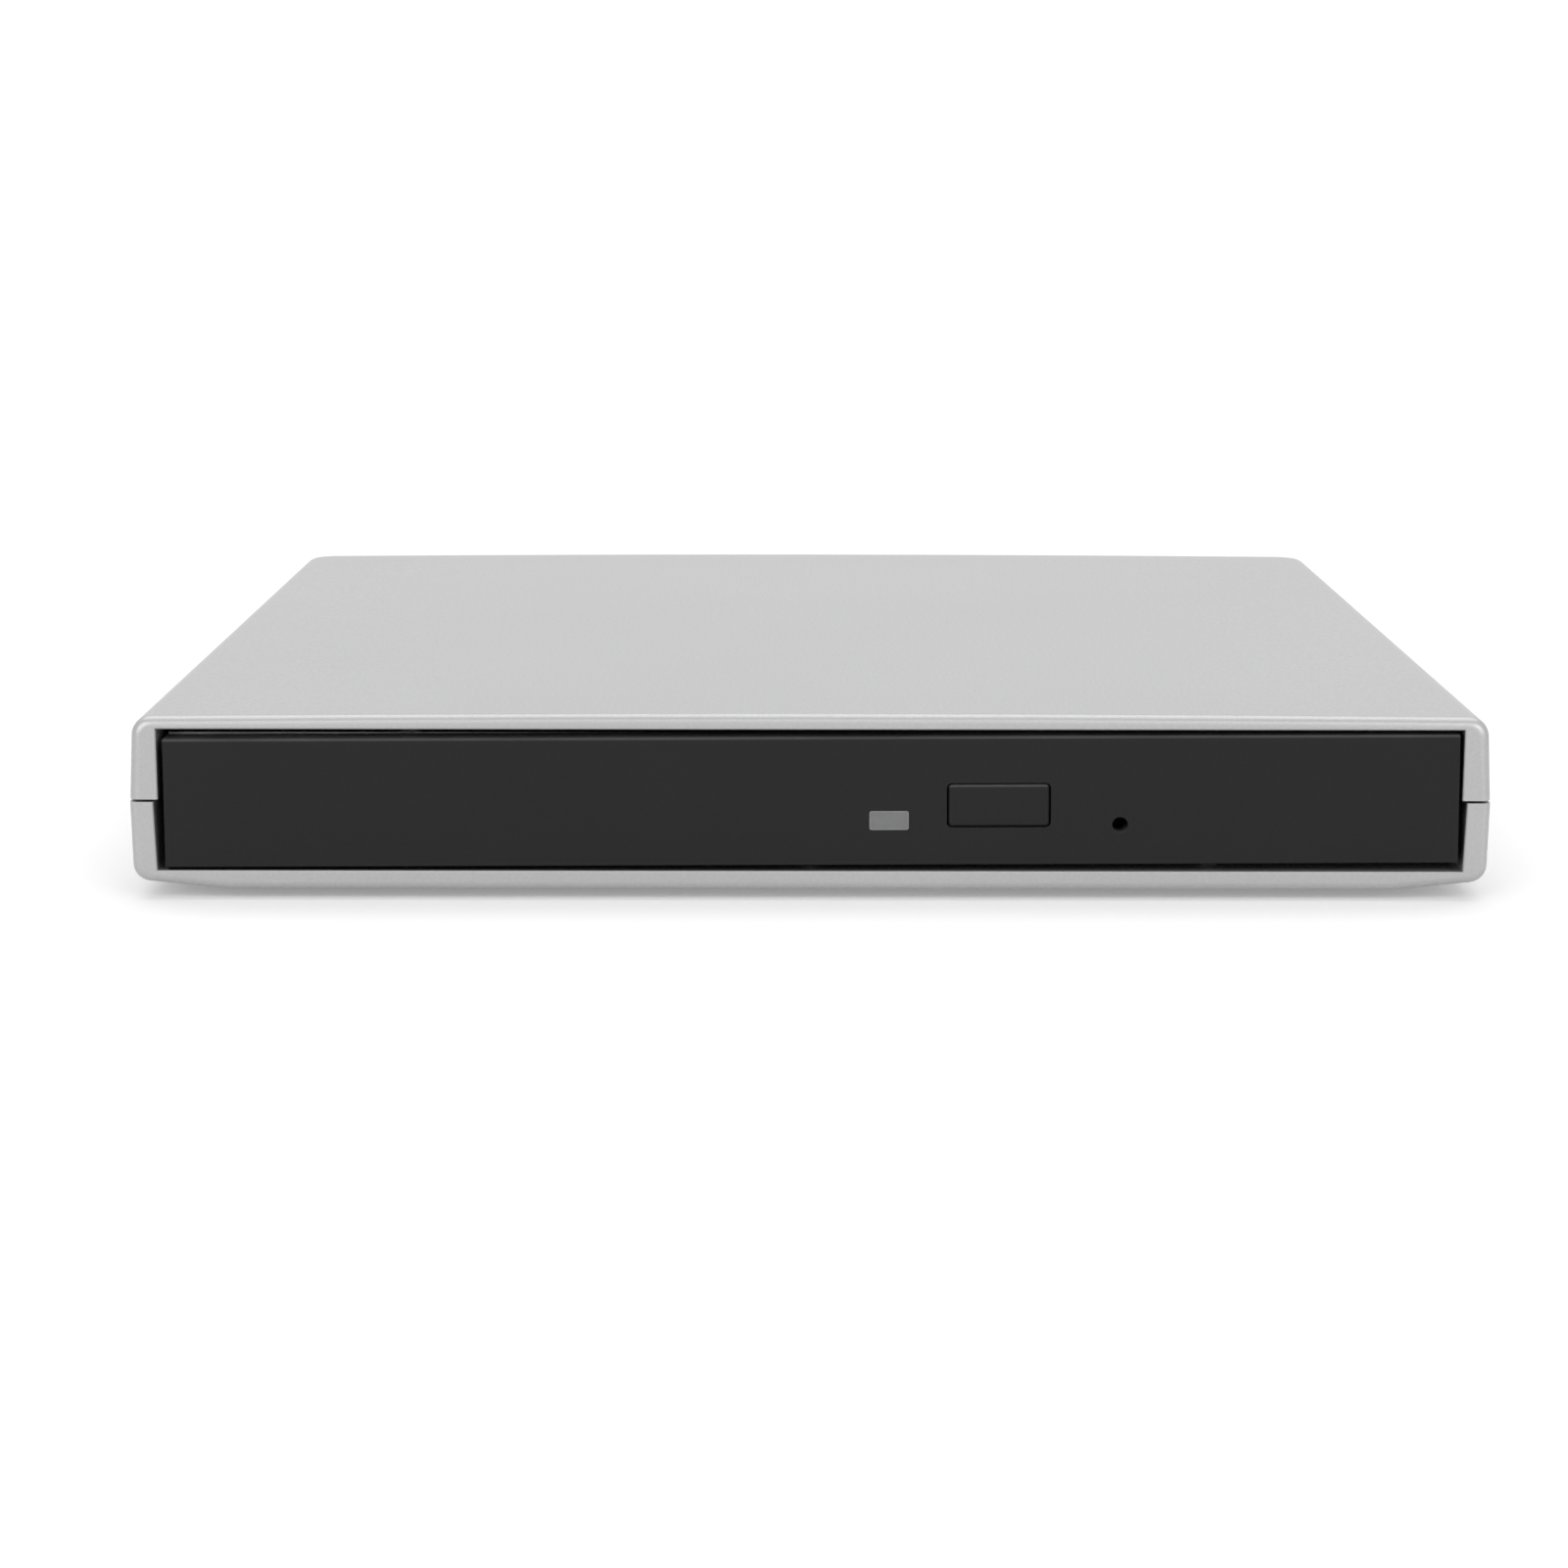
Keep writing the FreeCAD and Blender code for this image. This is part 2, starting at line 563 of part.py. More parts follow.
# Chips on the two boards: name, place right of the middle, place behind the board's front edge,
# width, depth and height
BRIDGE_CHIPS = (
    ("bridge_chip", -8.0, 6.0, 9.0, 9.0, 1.2),
    ("bridge_memory", 5.5, 4.5, 5.0, 4.0, 1.5),
    ("bridge_crystal", -19.0, 11.0, 4.6, 3.2, 1.1),
    ("bridge_coil", 16.0, 10.5, 5.0, 5.0, 3.0),
    ("bridge_capacitor", 22.0, 4.0, 3.2, 2.6, 2.0),
)
MAIN_CHIPS = (
    ("controller_chip", 12.0, 12.0, 14.0, 14.0, 1.4),
    ("memory_chip", -14.0, 15.0, 8.0, 10.0, 1.1),
    ("driver_chip", 33.0, 9.0, 9.0, 7.0, 1.5),
    ("cable_connector", cable_x, 2.2, 25.0, 4.4, 1.8),
    ("clock_crystal", -0.5, 7.0, 3.2, 2.5, 0.8),
    ("board_capacitor", 26.5, 18.5, 3.5, 2.8, 1.6),
)

# Heights
case_bottom = foot_height
floor_top = case_bottom + case_floor
chassis_bottom = floor_top + floor_rib_height
chassis_floor = chassis_bottom + chassis_sheet
shield_bottom = chassis_floor + cable_space
shield_top = shield_bottom + shield_sheet
tray_under = shield_top + mechanism_space
recess_floor = tray_under + tray_floor
tray_top = recess_floor + recess_depth
cover_bottom = tray_top + cover_gap
cover_top = cover_bottom + cover_sheet
ceiling = cover_top + ceiling_rib_height
case_top = ceiling + case_ceiling
parting = case_bottom + parting_height
lower_rim = parting - parting_gap / 2
upper_rim = parting + parting_gap / 2
bezel_bottom = floor_top + bezel_bottom_gap
bezel_top = ceiling - bezel_top_gap
bezel_height = bezel_top - bezel_bottom
bezel_middle = (bezel_bottom + bezel_top) / 2
disc_plane = recess_floor + disc_seat

# Widths
disc_recess_radius = disc_radius + disc_clearance
tray_half = disc_recess_radius + tray_edge
chassis_inner = tray_half + tray_side_gap
chassis_half = chassis_inner + chassis_sheet
drive_half = chassis_half + cover_flange
bezel_half = drive_half + bezel_overhang
opening_half = bezel_half + bezel_side_gap
lower_rim_half = opening_half + lower_step
case_half = opening_half + case_side_wall
rail_outer = chassis_inner - guide_back - rail_gap
rail_inner = rail_outer - rail_width
runner_outer = rail_inner - rail_gap
runner_inner = runner_outer - runner_web

# Depths
drive_depth = tray_front_edge + 2 * disc_recess_radius + behind_disc
case_depth = bezel_inset + bezel_thickness + drive_depth + rear_room + case_rear_wall
front = -case_depth / 2
back = case_depth / 2
rear_inner = back - case_rear_wall
bezel_front = front + bezel_inset
bezel_back = bezel_front + bezel_thickness
bezel_plate_back = bezel_front + bezel_wall
chassis_front = bezel_back + chassis_front_gap
drive_back = bezel_back + drive_depth
drive_inner_back = drive_back - chassis_sheet
tray_back = drive_back - tray_rear_gap
spindle_y = bezel_back + tray_front_edge + disc_recess_radius
guide_start = bezel_back + guide_front
guide_length = drive_depth - guide_front - guide_rear_gap
rail_start = bezel_back + rail_front
rail_length = drive_depth - rail_front - rail_rear_gap

# Details of the bezel in the object's frame
lamp_x = bezel_shift + lamp_place
button_x = bezel_shift + button_place
button_z = bezel_middle + button_rise
pinhole_x = bezel_shift + pinhole_place

# Heights of the mechanism
plate_top = tray_under - plate_drop
plate_bottom = plate_top - plate_sheet
rod_z = tray_under - rod_drop
screw_z = tray_under - screw_drop
rail_top = tray_under - rail_drop
rail_bottom = rail_top - rail_height
groove_top = rail_top + rail_gap
groove_bottom = rail_bottom - rail_gap
turntable_bottom = disc_plane - pad_thickness - turntable_thickness
turntable_seat = turntable_bottom + turntable_thickness
hub_top = disc_plane + hub_rise
pawl_bottom = disc_plane + pawl_lift
shaft_bottom = shield_top + shaft_rise
cover_plate_bottom = tray_under + cover_plate_rise

# Reaches of the mechanism along the sled's travel
lens_travel = disc_radius - lens_edge - lens_inner
lens_outer = lens_inner + lens_travel
rod_end = lens_outer + rod_overrun
rod_span = (rod_start + rod_seat_inset, rod_end - rod_end_inset)
motor_end = motor_start + motor_length

# Reaches of the mechanism across the sled's travel
bearing_half = rod_radius + bearing_wall
nut_side_inner = main_rod_side + bearing_half + arm_reach
screw_side = nut_side_inner + arm_gap

# Case screws and the boards behind and under the tray
case_screw_x = case_half - case_screw_inset_x
case_screw_y = back - case_screw_inset_y
case_screw_seat = lower_rim - case_screw_seat_drop
foot_x = case_half - foot_inset_x
foot_y = back - foot_inset_y
main_board_bottom = chassis_floor + main_board_rise
main_board_top = main_board_bottom + board_sheet
main_board_left = main_board_left_gap - chassis_inner
main_board_right = chassis_inner - main_board_right_gap
main_board_back = drive_inner_back - main_board_rear_gap
main_board_front = main_board_back - main_board_depth
bridge_bottom = main_board_bottom
bridge_top = main_board_top
bridge_half = case_screw_x - bridge_side_gap
bridge_front = drive_back + bridge_front_gap
bridge_back = rear_inner - bridge_rear_gap
board_screw_x = bridge_half - bridge_screw_inset
board_screw_y = bridge_back - bridge_screw_inset
usb_back = rear_inner - usb_inset
usb_front = usb_back - usb_depth
port_z = bridge_top + usb_height / 2
cover_screw_z = cover_bottom - cover_flange_height / 2
cable_fold_y = main_board_front - cable_fold
cable_rise_y = main_board_front - cable_rise

# Latch, eject pusher and the parts under the tray's front
strike_x = runner_inner - strike_inset
strike_y = bezel_back + strike_place
hook_x = runner_inner - hook_inset
hook_y = bezel_back + hook_place
hook_bottom = shield_top + hook_rise
hook_top = hook_bottom + hook_thickness
slider_left = pinhole_x - slider_pin_margin
slider_right = hook_x - hook_tail + slider_tail_margin
shield_front = bezel_back + shield_front_gap
shield_back = main_board_front - shield_board_gap
button_board_bottom = shield_top + button_board_rise
button_board_top = button_board_bottom + button_board_sheet
switch_front = bezel_back + switch_place
pusher_x = runner_inner - pusher_inset
pusher_rear = drive_inner_back - pusher_rear_gap
pusher_front = pusher_rear - pusher_room
pusher_low = chassis_floor + pusher_floor
pusher_z = pusher_low + pusher_gap + pusher_height / 2
pusher_high = pusher_z + pusher_height / 2
pusher_guide_front = pusher_front - pusher_stroke - pusher_guide_overrun


# Shapes of the document


def turned_placement(axis, angle=1):
    """A turn about an axis through the origin; an angle from the sheet can follow."""
    return FreeCAD.Placement(FreeCAD.Vector(), FreeCAD.Rotation(FreeCAD.Vector(*axis), angle))


def register(item, label, axis=None, angle=None, base=None):
    """Gives a finished sub-part its label, and turns and moves it where that is asked."""
    if axis is not None:
        item.Placement = turned_placement(axis)
        item.setExpression("Placement.Rotation.Angle", text_of(angle))
    for letter, place in zip("xyz", base or ()):
        item.setExpression(f"Placement.Base.{letter}", text_of(place))
    item.Label = label
    SUBPARTS.append(item)
    return item


def in_mechanism(item, label):
    """Sets a sub-part drawn along and across the sled's travel at its turned place on the tray."""
    return register(item, label, (0, 0, 1), sled_turn, (0, spindle_y, 0))


def in_bezel(item, label):
    """Sets a sub-part drawn round the bezel's middle at its place, with the bezel's slight roll."""
    return register(item, label, (0, 1, 0), -bezel_roll, (bezel_shift, 0, bezel_middle))


def block(name, x, y, z):
    """A block between two planes on each axis."""
    item = DOC.addObject("Part::Box", name)
    for side, letter, (low, high) in zip(("Length", "Width", "Height"), "xyz", (x, y, z)):
        item.setExpression(side, text_of(high - low))
        item.setExpression(f"Placement.Base.{letter}", text_of(low))
    return item


def rod(name, radius, place, span, axis="z"):
    """A cylinder between two planes along one axis; place holds its other two coordinates in order."""
    turns = {"x": ((0, 1, 0), 90), "y": ((-1, 0, 0), 90), "z": ((0, 0, 1), 0)}
    item = DOC.addObject("Part::Cylinder", name)
    direction, angle = turns[axis]
    item.Placement = turned_placement(direction, angle)
    item.setExpression("Radius", text_of(radius))
    item.setExpression("Height", text_of(span[1] - span[0]))
    letters = [letter for letter in "xyz" if letter != axis]
    for letter, at in zip(letters, place):
        item.setExpression(f"Placement.Base.{letter}", text_of(at))
    item.setExpression(f"Placement.Base.{axis}", text_of(span[0]))
    return item


def fused(name, *pieces):
    if len(pieces) == 1:
        return pieces[0]
    item = DOC.addObject("Part::MultiFuse", name)
    item.Shapes = list(pieces)
    item.Refine = True
    return item


def cut(name, base, *tools):
    item = DOC.addObject("Part::Cut", name)
    item.Base = base
    item.Tool = fused(name + "_tools", *tools)
    item.Refine = True
    return item


def common(name, first, second):
    item = DOC.addObject("Part::Common", name)
    item.Base = first
    item.Tool = second
    item.Refine = True
    return item


def group(name, *pieces):
    """Separate solids that share one node."""
    item = DOC.addObject("Part::Compound", name)
    item.Links = list(pieces)
    return item


def new_body(name):
    return DOC.addObject("PartDesign::Body", name)


def sketch_on(body, name, role, offset=0):
    """A sketch on one of the body's own origin planes, moved along the plane's normal."""
    sketch = body.newObject("Sketcher::SketchObject", name)
    plane = next(item for item in body.Origin.OriginFeatures if item.Role == role)
    sketch.AttachmentSupport = [(plane, "")]
    sketch.MapMode = "FlatFace"
    sketch.setExpression("AttachmentOffset.Base.z", text_of(offset))
    return sketch


def hold(sketch, kind, edge, point, value):
    """Ties one coordinate of a sketch's point to the sheet."""
    index = sketch.addConstraint(Sketcher.Constraint(kind, -1, 1, edge, point, number_of(value)))
    sketch.setExpression(f"Constraints[{index}]", text_of(value))


def outline(sketch, points):
    """A closed outline of straight lines whose corners are each held to the sheet."""
    corners = [FreeCAD.Vector(number_of(x), number_of(y), 0) for x, y in points]
    first = sketch.GeometryCount
    count = len(corners)
    for index in range(count):
        line = Part.LineSegment(corners[index], corners[(index + 1) % count])
        sketch.addGeometry(line, False)
    for index in range(count):
        following = first + (index + 1) % count
        sketch.addConstraint(Sketcher.Constraint("Coincident", first + index, 2, following, 1))
        hold(sketch, "DistanceX", first + index, 1, points[index][0])
        hold(sketch, "DistanceY", first + index, 1, points[index][1])
    return sketch


def rectangle(sketch, x, y):
    return outline(sketch, [(x[0], y[0]), (x[1], y[0]), (x[1], y[1]), (x[0], y[1])])


def circle(sketch, x, y, radius):
    centre = FreeCAD.Vector(number_of(x), number_of(y), 0)
    up = FreeCAD.Vector(0, 0, 1)
    edge = sketch.addGeometry(Part.Circle(centre, up, number_of(radius)), False)
    hold(sketch, "DistanceX", edge, 3, x)
    hold(sketch, "DistanceY", edge, 3, y)
    index = sketch.addConstraint(Sketcher.Constraint("Radius", edge, number_of(radius)))
    sketch.setExpression(f"Constraints[{index}]", text_of(radius))
    return sketch


def pad(body, sketch, length, reverse=False):
    item = body.newObject("PartDesign::Pad", sketch.Name + "_pad")
    item.Profile = sketch
    item.setExpression("Length", text_of(length))
    item.Reversed = reverse
    return item


def pocket(body, sketch, length=None, reverse=False):
    """Cuts a sketch away to a depth, or right through both ways."""
    item = body.newObject("PartDesign::Pocket", sketch.Name + "_cut")
    item.Profile = sketch
    if length is None:
        item.Type = "ThroughAll"
        item.SideType = "Symmetric"
    else:
        item.setExpression("Length", text_of(length))
        item.Reversed = reverse
    return item


def repeated(body, name, sketch, feature, count):
    """Repeats a cut evenly round its sketch's own origin."""
    DOC.recompute()
    pattern = body.newObject("PartDesign::PolarPattern", name)
    pattern.Originals = [feature]
    pattern.Axis = (sketch, ["N_Axis"])
    pattern.Angle = 360
    pattern.Occurrences = count
    body.Tip = pattern


def edges_of(shape, wanted):
    """The names of a shape's edges whose two ends and middle pass a test."""
    names = []
    for index, edge in enumerate(shape.Edges, 1):
        middle = edge.valueAt((edge.FirstParameter + edge.LastParameter) / 2)
        ends = [vertex.Point for vertex in edge.Vertexes]
        if all(wanted(point) for point in ends + [middle]):
            names.append(f"Edge{index}")
    return names


def dress(body, kind, wanted, size):
    """A fillet or chamfer on those edges of the body's last feature that pass a test."""
    DOC.recompute()
    base = body.Tip
    item = body.newObject(f"PartDesign::{kind}", f"{body.Name}_{kind}".lower())
    item.Base = (base, edges_of(base.Shape, wanted))
    item.setExpression("Radius" if kind == "Fillet" else "Size", text_of(size))
    return item


def near(value, target, slack=SLACK):
    return abs(value - number_of(target)) < slack


def cosine(angle):
    return Size(math.cos(math.radians(angle.number)), f"cos({angle.text})")


def sine(angle):
    return Size(math.sin(math.radians(angle.number)), f"sin({angle.text})")


def on_tray(along, across):
    """The place on the tray of a point given along and across the sled's travel."""
    x = cosine(sled_turn) * along - sine(sled_turn) * across
    y = sine(sled_turn) * along + cosine(sled_turn) * across + spindle_y
    return x, y


def turned(name, profile):
    """A body turned about Z from a half section given as radius and height."""
    body = new_body(name)
    sketch = outline(sketch_on(body, name + "_section", "XZ_Plane"), profile)
    item = body.newObject("PartDesign::Revolution", name + "_turn")
    item.Profile = sketch
    item.ReferenceAxis = (sketch, ["V_Axis"])
    item.Angle = 360
    return body


def screw(name, place, seat, length, radius, head_radius, head_height, down=True):
    """A screw with a crossed head that seats at a height; its shank points down, or up."""
    if down:
        shank_span = (seat - length, seat)
        head_span = (seat, seat + head_height)
        slot_span = (seat + head_height / 2, seat + head_height + PAST)
    else:
        shank_span = (seat, seat + length)
        head_span = (seat - head_height, seat)
        slot_span = (seat - head_height - PAST, seat - head_height / 2)
    shank = rod(name + "_shank", radius, place, shank_span)
    head = rod(name + "_head", head_radius, place, head_span)
    long = head_radius * cross_length
    thin = head_radius * cross_width
    first = block(name + "_slot_x", about(place[0], long), about(place[1], thin), slot_span)
    second = block(name + "_slot_y", about(place[0], thin), about(place[1], long), slot_span)
    return cut(name, fused(name + "_blank", shank, head), first, second)


def board_chips(name, sizes, start, top):
    """Packages that stand on a board, placed from its front edge."""
    chips = [
        block(chip, about(x, constant(wide)), about(start + y, constant(deep)), (top, top + high))
        for chip, x, y, wide, deep, high in sizes
    ]
    register(group(name, *chips), name)


def screw_holes(body, name, places, radius):
    """Round holes right through a sheet."""
    for index, (x, y) in enumerate(places):
        hole = sketch_on(body, f"{name}_{index}", "XY_Plane")
        circle(hole, x, y, radius)
        pocket(body, hole)


# Case shells


def case_blank(body, name, rim, end, draft):
    """A shell's outer block: widest at its rim by the mould's draft, with its rear corners rounded."""
    section = sketch_on(body, name + "_section", "XZ_Plane", -front)
    end_half = case_half - draft
    outline(section, [(-case_half, rim), (case_half, rim), (end_half, end), (-end_half, end)])
    pad(body, section, back - front, True)
    dress(body, "Fillet", lambda p: near(p.y, back) and beside(p, draft), rear_corner_round)


def beside(p, draft):
    """Whether a point is on one of the case's sides, which lean in by a draft."""
    return near(abs(p.x), case_half, number_of(draft) + FLANK_SLACK)


def on_flank(p, draft):
    """Whether a point is on the case's sides, rear or rear corners."""
    corner_x = number_of(case_half - draft - rear_corner_round - EMBED)
    corner_y = number_of(back - rear_corner_round - EMBED)
    in_corner = p.y > corner_y and abs(p.x) > corner_x
    return beside(p, draft) or near(p.y, back, FLANK_SLACK) or in_corner


def on_front_edge(p, rim):
    """Whether a point lies on a shell's outer front edge and not on its rim's line."""
    on_rim = near(p.z, rim) and abs(p.x) < number_of(case_half) - SLACK
    return near(p.y, front) and not on_rim


def cut_room(body, name, rim, end, rim_half, end_half):
    """The shell's room from its rim to its floor or ceiling, with the mould's draft on its sides."""
    room = sketch_on(body, name, "XZ_Plane", -front)
    outline(room, [(-rim_half, rim), (rim_half, rim), (end_half, end), (-end_half, end)])
    pocket(body, room, rear_inner - front)


def cut_port(body, name):
    """The opening in the rear wall in front of the socket."""
    port = sketch_on(body, name + "_port", "XZ_Plane", -back - PAST)
    rectangle(port, about(port_x, port_width), about(port_z, port_height))
    pocket(body, port, case_rear_wall + PAST + SLACK, True)


def chamfer_opening(body, end):
    """A small chamfer round the front opening, at its sides and its floor or ceiling."""

    def on_lip(p):
        at_side = near(abs(p.x), opening_half, number_of(lower_step) + SLACK)
        return near(p.y, front) and (at_side or near(p.z, end))

    dress(body, "Chamfer", on_lip, opening_chamfer)


def make_upper_case():
    body = new_body("upper_case")
    case_blank(body, "upper", upper_rim, case_top, upper_side_draft)
    crown = sketch_on(body, "upper_crown", "XZ_Plane")
    add_crown(crown)
    pocket(body, crown)
    shoulder = number_of(case_top - case_crown - crown_band)
    dress(body, "Fillet", lambda p: p.z > shoulder and on_flank(p, upper_side_draft), top_edge_round)
    dress(body, "Fillet", lambda p: on_front_edge(p, upper_rim), upper_front_round)
    cut_room(body, "upper_room", upper_rim, ceiling, opening_half - upper_draft, opening_half)
    groove = sketch_on(body, "upper_groove", "XY_Plane", upper_rim)
    groove_half = lower_rim_half + lip_thickness + lip_clearance
    groove_back = rear_inner + lip_thickness + lip_clearance
    rectangle(groove, both(groove_half), (front + case_side_wall - lip_clearance, groove_back))
    pocket(body, groove, lip_height + lip_clearance - parting_gap, True)
    for side, sign in SIDES:
        rib = sketch_on(body, f"ceiling_rib_{side}", "XY_Plane", ceiling)
        rectangle(rib, about(rib_place * sign, rib_width), (front + rib_end_gap, rear_inner - rib_end_gap))
        pad(body, rib, ceiling_rib_height, True)
        post = sketch_on(body, f"upper_post_{side}", "XY_Plane", upper_rim)
        circle(post, case_screw_x * sign, case_screw_y, upper_post_radius)
        pad(body, post, ceiling - upper_rim)
        bore = sketch_on(body, f"upper_post_bore_{side}", "XY_Plane", upper_rim)
        circle(bore, case_screw_x * sign, case_screw_y, case_screw_radius + screw_clearance)
        pocket(body, bore, case_screw_length, True)
    cut_port(body, "upper")
    chamfer_opening(body, ceiling)
    register(body, "upper_case")


def add_crown(sketch):
    """The region above a shallow arc over the whole width, for the top's crown."""
    shoulder = case_top - case_crown
    high = case_top + PAST
    corners = [(case_half, shoulder), (case_half, high), (-case_half, high), (-case_half, shoulder)]
    points = [FreeCAD.Vector(number_of(x), number_of(z), 0) for x, z in corners]
    last = len(corners) - 1
    for index in range(last):
        sketch.addGeometry(Part.LineSegment(points[index], points[index + 1]), False)
        hold(sketch, "DistanceX", index, 1, corners[index][0])
        hold(sketch, "DistanceY", index, 1, corners[index][1])
    hold(sketch, "DistanceX", last - 1, 2, corners[last][0])
    hold(sketch, "DistanceY", last - 1, 2, corners[last][1])
    for index in range(last - 1):
        sketch.addConstraint(Sketcher.Constraint("Coincident", index, 2, index + 1, 1))
    middle = FreeCAD.Vector(0, number_of(case_top), 0)
    arc = sketch.addGeometry(Part.Arc(points[0], middle, points[last]), False)
    starts_right = sketch.getPoint(arc, 1).x > 0
    sketch.addConstraint(Sketcher.Constraint("Coincident", arc, 1 if starts_right else 2, 0, 1))
    sketch.addConstraint(Sketcher.Constraint("Coincident", arc, 2 if starts_right else 1, last - 1, 2))
    peak = sketch.addGeometry(Part.Point(middle), True)
    hold(sketch, "DistanceX", peak, 1, 0)
    hold(sketch, "DistanceY", peak, 1, case_top)
    sketch.addConstraint(Sketcher.Constraint("PointOnObject", peak, 1, arc))


def make_lower_case():
    body = new_body("lower_case")
    case_blank(body, "lower", lower_rim, case_bottom, lower_side_draft)
    slope_bottom_sides(body)
    band_top = number_of(case_bottom + bottom_band_rise + EMBED)
    dress(body, "Fillet", lambda p: p.z < band_top and on_flank(p, lower_side_draft), bottom_edge_round)
    dress(body, "Fillet", lambda p: on_front_edge(p, lower_rim), lower_front_round)
    cut_room(body, "lower_room", lower_rim, floor_top, lower_rim_half, lower_rim_half - lower_draft)
    add_lip(body)
    for name, middle in (("left", -rib_place), ("middle", constant(0)), ("right", rib_place)):
        rib = sketch_on(body, f"floor_rib_{name}", "XY_Plane", floor_top)
        rectangle(rib, about(middle, rib_width), (front + rib_end_gap, drive_back))
        pad(body, rib, floor_rib_height)
    for side, sign in SIDES:
        add_screw_post(body, side, case_screw_x * sign)
        add_board_post(body, side, board_screw_x * sign)
        for end, sense in ENDS:
            recess = sketch_on(body, f"foot_recess_{end}_{side}", "XY_Plane", case_bottom)
            circle(recess, foot_x * sign, foot_y * sense, foot_radius + foot_clearance)
            pocket(body, recess, foot_recess, True)
    cut_port(body, "lower")
    chamfer_opening(body, floor_top)
    register(body, "lower_case")


def slope_bottom_sides(body):
    """Cuts the bands along both sides where the bottom slopes up."""
    slope = bottom_band_rise / bottom_band_width
    flat_half = case_half - bottom_band_width
    outside = case_half + PAST
    for side, sign in SIDES:
        band = sketch_on(body, f"bottom_band_{side}", "XZ_Plane")
        outline(band, [
            (flat_half * sign, case_bottom),
            (outside * sign, case_bottom + slope * (bottom_band_width + PAST)),
            (outside * sign, case_bottom - PAST),
            (flat_half * sign, case_bottom - PAST),
        ])
        pocket(body, band)


def add_lip(body):
    """The tongue on the lower shell's rim that fits the upper shell's groove."""
    outer = lower_rim_half + lip_thickness
    rear = rear_inner + lip_thickness
    start = front + case_side_wall
    lip = sketch_on(body, "lower_lip", "XY_Plane", lower_rim)
    outline(lip, [
        (-outer, start), (-outer, rear), (outer, rear), (outer, start), (lower_rim_half, start),
        (lower_rim_half, rear_inner), (-lower_rim_half, rear_inner), (-lower_rim_half, start),
    ])
    pad(body, lip, lip_height)


def add_screw_post(body, side, x):
    """A post with a case screw's seat and hole, open at the bottom."""
    post = sketch_on(body, f"lower_post_{side}", "XY_Plane", floor_top)
    circle(post, x, case_screw_y, lower_post_radius)
    pad(body, post, lower_rim - floor_top)
    well = sketch_on(body, f"screw_well_{side}", "XY_Plane", case_bottom)
    circle(well, x, case_screw_y, case_screw_head_radius + screw_clearance)
    pocket(body, well, case_screw_seat - case_bottom, True)
    hole = sketch_on(body, f"screw_hole_{side}", "XY_Plane", case_bottom)
    circle(hole, x, case_screw_y, case_screw_radius + screw_clearance)
    pocket(body, hole, lower_rim - case_bottom + PAST, True)


def add_board_post(body, side, x):
    """A low post that the bridge board is screwed to."""
    seat = sketch_on(body, f"board_post_{side}", "XY_Plane", floor_top)
    circle(seat, x, board_screw_y, board_post_radius)
    pad(body, seat, bridge_bottom - floor_top)
    thread = sketch_on(body, f"board_thread_{side}", "XY_Plane", bridge_bottom)
    circle(thread, x, board_screw_y, small_screw_radius + thread_clearance)
    pocket(body, thread, small_screw_length)


def make_feet():
    top = case_bottom + foot_recess
    profile = [
        (0, 0), (foot_radius - foot_bevel, 0), (foot_radius, foot_bevel), (foot_radius, top), (0, top),
    ]
    for end, sense in ENDS:
        for side, sign in SIDES:
            name = f"foot_{end}_{side}"
            register(turned(name, profile), name, base=(foot_x * sign, foot_y * sense, 0))


def make_case_screws():
    screws = [
        screw(f"case_screw_{side}", (case_screw_x * sign, case_screw_y), case_screw_seat, case_screw_length,
              case_screw_radius, case_screw_head_radius, case_screw_head_height, down=False)
        for side, sign in SIDES
    ]
    register(group("case_screws", *screws), "case_screws")


# Bridge board behind the drive


def make_bridge_board():
    board = block("bridge_sheet", both(bridge_half), (bridge_front, bridge_back),
                  (bridge_bottom, bridge_top))
    places = [(board_screw_x * sign, board_screw_y) for side, sign in SIDES]
    holes = [
        rod(f"bridge_hole_{index}", small_screw_radius + screw_clearance, place,
            (bridge_bottom - PAST, bridge_top + PAST))
        for index, place in enumerate(places)
    ]
    register(cut("bridge_board", board, *holes), "bridge_board")
    screws = [
        screw(f"bridge_screw_{index}", place, bridge_top, small_screw_length, small_screw_radius,
              small_head_radius, small_head_height)
        for index, place in enumerate(places)
    ]
    register(group("bridge_screws", *screws), "bridge_screws")
    board_chips("bridge_components", BRIDGE_CHIPS, bridge_front, bridge_top)


def make_usb_socket():
    usb_top = bridge_top + usb_height
    shell = block("usb_shell", about(port_x, usb_width), (usb_front, usb_back), (bridge_top, usb_top))
    mouth = block("usb_mouth", about(port_x, usb_width - 2 * usb_sheet),
                  (usb_front + usb_floor, usb_back + PAST), (bridge_top + usb_sheet, usb_top - usb_sheet))
    hollow = cut("usb_hollow", shell, mouth)
    tongue = block("usb_tongue", about(port_x, usb_tongue_width),
                   (usb_front + usb_floor - EMBED, usb_back - usb_tongue_inset),
                   about(port_z + usb_tongue_rise, usb_tongue_thickness))
    register(fused("usb_socket", hollow, tongue), "usb_socket")


